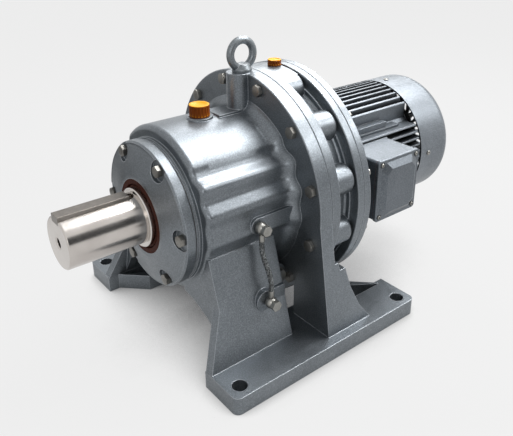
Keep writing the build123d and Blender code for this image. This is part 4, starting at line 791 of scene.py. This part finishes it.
class GM_OT_cowl_screws(bpy.types.Operator):
    """Domed screws that hold the fan cowl"""
    bl_idname = "gm.cowl_screws"
    bl_label = "Cowl screws"

    def execute(self, context):
        sizes = context.scene.gm_fasteners
        low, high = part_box("cowl_screws")
        middle = (low.x + high.x) / 2
        reach = high.z - AXIS_Z

        def screw(data):
            domed_screw(data, top=0.0, seat=-3.0 * MM, head=sizes.cowl_head / 2,
                        shank=2.5 * MM, tip=-15 * MM)
            upright = Matrix.Translation((middle, 0, 0)) @ Matrix.Rotation(math.pi / 2, 4, "Z")
            bmesh.ops.transform(data, matrix=upright, verts=data.verts)

        template = object_from("cowl_screw_template", screw)
        ring = ring_of("cowl_screw_ring", template, "pale_screws", sizes.cowl_count, reach, 0.0)
        finished(ring, HOUSING, "pale_screws", "cowl_screws")
        return {"FINISHED"}


class GM_OT_lid_screws(bpy.types.Operator):
    """Domed screws in the corners of the terminal box lid"""
    bl_idname = "gm.lid_screws"
    bl_label = "Lid screws"

    def execute(self, context):
        sizes = context.scene.gm_fasteners
        low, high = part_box("terminal_lid_screws")
        middle = (low + high) / 2

        def screw(data):
            domed_screw(data, top=0.0, seat=-4.0 * MM, head=sizes.lid_head / 2,
                        shank=2.5 * MM, tip=low.y - high.y)
            upright = Matrix.Rotation(math.pi / 2, 3, "Z")
            bmesh.ops.rotate(data, matrix=upright, verts=data.verts)

        template = object_from("lid_screw_template", screw)
        corners = copied("lid_screw_set", template, corner_tree(), "pale_screws",
                         Width=high.x - low.x - sizes.lid_head,
                         Height=high.z - low.z - sizes.lid_head,
                         Centre=(middle.x, high.y, middle.z))
        finished(corners, HOUSING, "pale_screws", "terminal_lid_screws")
        return {"FINISHED"}


class GM_OT_plugs(bpy.types.Operator):
    """Ribbed plastic plugs of the filler hole and of the ring housing"""
    bl_idname = "gm.plugs"
    bl_label = "Plugs"

    def execute(self, context):
        ribs = context.scene.gm_fasteners.plug_ribs
        shank_length = 20 * MM
        for node, shank, count in (("filler_plug", 13 * MM, ribs),
                                   ("ring_housing_plug", 8 * MM, ribs * 4 // 5)):
            low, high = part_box(node)
            centre, radius = (low.x + high.x) / 2, (high.x - low.x) / 2
            cap = object_from(node + "_cap", lambda data: ribbed_cap(
                data, centre, low.z + shank_length, high.z, radius, count, shank, low.z))
            finished(smooth(cap, 40.0), HOUSING, "orange_plastic", node)
        return {"FINISHED"}


class GM_OT_stage(bpy.types.Operator):
    """Pale floor, soft lights and the camera"""
    bl_idname = "gm.stage"
    bl_label = "Stage"

    def execute(self, context):
        make_floor()
        make_lights()
        make_world()
        make_camera(context.scene.gm_stage)
        context.scene.view_settings.view_transform = "Standard"
        return {"FINISHED"}


# Stage

def background_seen(tree):
    """1 for what the camera, gloss or clear parts see directly, 0 for what only lights."""
    path = add_node(tree, "ShaderNodeLightPath").outputs
    first = add_node(tree, "ShaderNodeMath", operation="MAXIMUM",
                     links={0: path["Is Camera Ray"], 1: path["Is Glossy Ray"]})
    both = add_node(tree, "ShaderNodeMath", operation="MAXIMUM",
                    links={0: first.outputs[0], 1: path["Is Transmission Ray"]})
    return both.outputs[0]


def make_floor():
    """Pale floor in the background's colour, which keeps a soft part of the object's real shadow
    and has a painted shadow near it.
    """
    half, painted_shadow_reach, glow_share = 30.0, 0.22, 0.94
    mesh = bpy.data.meshes.new("floor")
    mesh.from_pydata([(-half, -half, 0), (half, -half, 0), (half, half, 0), (-half, half, 0)],
                     [], [(0, 1, 2, 3)])
    floor = new_object("floor", mesh)
    material, tree, shader = new_material("pale_floor")
    shader.inputs["Base Color"].default_value = linear("B0B0B0")
    shader.inputs["Roughness"].default_value = 0.9
    shader.inputs["Specular IOR Level"].default_value = 0.1
    # painted shadow: ambient occlusion darkens the floor's glow near the object towards dark, and
    # metal mirrors it too
    near = add_node(tree, "ShaderNodeAmbientOcclusion", samples=16,
                    inputs={"Distance": painted_shadow_reach})
    painted_shadow_mask = add_node(tree, "ShaderNodeMapRange", links={"Value": near.outputs["AO"]},
                     inputs={"From Min": 0.1, "From Max": 0.75})
    dark, pale = linear("2C2E30"), linear(bpy.context.scene.gm_stage.background)
    blend = add_node(tree, "ShaderNodeMix", data_type="RGBA",
                     inputs={MIX_FIRST: dark, MIX_SECOND: pale},
                     links={"Factor": painted_shadow_mask.outputs["Result"]})
    glow = add_node(tree, "ShaderNodeEmission", inputs={"Strength": 1.0},
                    links={"Color": blend.outputs[MIX_RESULT]})
    share = add_node(tree, "ShaderNodeMath", operation="MULTIPLY", inputs={1: glow_share},
                     links={0: background_seen(tree)})
    mix = add_node(tree, "ShaderNodeMixShader",
                   links={0: share.outputs[0], 1: shader.outputs["BSDF"], 2: glow.outputs[0]})
    output = next(node for node in tree.nodes if node.type == "OUTPUT_MATERIAL")
    tree.links.new(mix.outputs[0], output.inputs["Surface"])
    mesh.materials.append(material)


def soft_light(name, place, target, width, height, power):
    """Large soft area light that faces a point."""
    data = bpy.data.lights.new(name, "AREA")
    data.shape = "RECTANGLE"
    data.size = width
    data.size_y = height
    data.energy = power
    lamp = new_object(name, data)
    lamp.location = place
    lamp.rotation_mode = "QUATERNION"
    lamp.rotation_quaternion = (Vector(target) - Vector(place)).to_track_quat("-Z", "Y")


def dark_card(name, place, target, width, height, material):
    """Dark card that gloss and clear parts see, which gives polished metal its dark band."""
    x, y = width / 2, height / 2
    turn = (Vector(target) - Vector(place)).to_track_quat("-Z", "Y")
    corners = [Vector(place) + turn @ Vector(corner)
               for corner in ((-x, -y, 0), (x, -y, 0), (x, y, 0), (-x, y, 0))]
    mesh = bpy.data.meshes.new(name)
    mesh.from_pydata(corners, [], [(0, 1, 2, 3)])
    mesh.materials.append(material)
    card = new_object(name, mesh)
    card.visible_camera = False
    card.visible_shadow = False
    card.visible_diffuse = False


def make_lights():
    """Softboxes above, behind and on the shaft side, and dark cards for gloss to mirror."""
    for softbox in SOFTBOXES:
        soft_light(*softbox)
    material, _, shader = new_material("dark_card")
    shader.inputs["Base Color"].default_value = linear("3A3C3E")
    shader.inputs["Roughness"].default_value = 0.9
    for card in DARK_CARDS:
        dark_card(*card, material)


def make_world():
    """Studio surroundings: the background where it is seen, and a weak even fill elsewhere."""
    world = bpy.data.worlds.new("studio")
    bpy.context.scene.world = world
    world.use_nodes = True
    tree = world.node_tree
    tree.nodes.clear()
    back = linear(bpy.context.scene.gm_stage.background)
    seen = add_node(tree, "ShaderNodeBackground", inputs={"Color": back, "Strength": 1.0})
    fill = add_node(tree, "ShaderNodeBackground",
                    inputs={"Color": linear("E0E2E4"), "Strength": 0.25})
    mix = add_node(tree, "ShaderNodeMixShader",
                   links={0: background_seen(tree), 1: fill.outputs[0], 2: seen.outputs[0]})
    add_node(tree, "ShaderNodeOutputWorld", links={"Surface": mix.outputs[0]})


def make_camera(stage):
    """Camera at the photograph's viewing angle."""
    turn, rise = math.radians(stage.azimuth), math.radians(stage.elevation)
    back = Vector((math.sin(turn) * math.cos(rise), -math.cos(turn) * math.cos(rise),
                   math.sin(rise)))
    data = bpy.data.cameras.new("camera")
    data.sensor_width = 36.0
    data.lens = stage.lens
    data.shift_x, data.shift_y = stage.shift
    data.clip_start, data.clip_end = 0.01, 50.0
    camera = new_object("camera", data)
    camera.location = stage.camera_place
    camera.rotation_mode = "QUATERNION"
    camera.rotation_quaternion = (-back).to_track_quat("-Z", "Y")
    bpy.context.scene.camera = camera


# Add-on

OPERATORS = (GM_OT_paint_parts, GM_OT_flange_bolts, GM_OT_cover_bolts, GM_OT_motor_screws,
             GM_OT_cowl_screws, GM_OT_lid_screws, GM_OT_plugs, GM_OT_stage)
SETTINGS = (Tone, FinishSettings, FastenerSettings, StageSettings)


class GM_PT_panel(bpy.types.Panel):
    """Lists the steps that dress the geared motor"""
    bl_idname = "GM_PT_panel"
    bl_label = "Geared motor"
    bl_space_type = "VIEW_3D"
    bl_region_type = "UI"
    bl_category = "Geared motor"

    def draw(self, context):
        for operator in OPERATORS:
            self.layout.operator(operator.bl_idname)


def register():
    """Registers the settings, the operators and the panel."""
    for item in SETTINGS + OPERATORS + (GM_PT_panel,):
        bpy.utils.register_class(item)
    scene = bpy.types.Scene
    scene.gm_finish = bpy.props.PointerProperty(type=FinishSettings)
    scene.gm_fasteners = bpy.props.PointerProperty(type=FastenerSettings)
    scene.gm_stage = bpy.props.PointerProperty(type=StageSettings)
    for slot in FINISHES:
        setattr(scene, "gm_tone_" + slot, bpy.props.PointerProperty(type=Tone))


def unregister():
    """Takes back what register did."""
    tones = ["gm_tone_" + slot for slot in FINISHES]
    for name in tones + ["gm_stage", "gm_fasteners", "gm_finish"]:
        delattr(bpy.types.Scene, name)
    for item in reversed(SETTINGS + OPERATORS + (GM_PT_panel,)):
        bpy.utils.unregister_class(item)


def main():
    """Registers the add-on, sets the finishes' colours and dresses the machine."""
    register()
    for slot, (_, *codes) in FINISHES.items():
        colours = tone(slot)
        for part, code in zip(("dark", "light", "flake"), codes):
            setattr(colours, part, code)
    for operator in OPERATORS:
        group, name = operator.bl_idname.split(".")
        getattr(getattr(bpy.ops, group), name)()


if __name__ == "__main__":
    main()
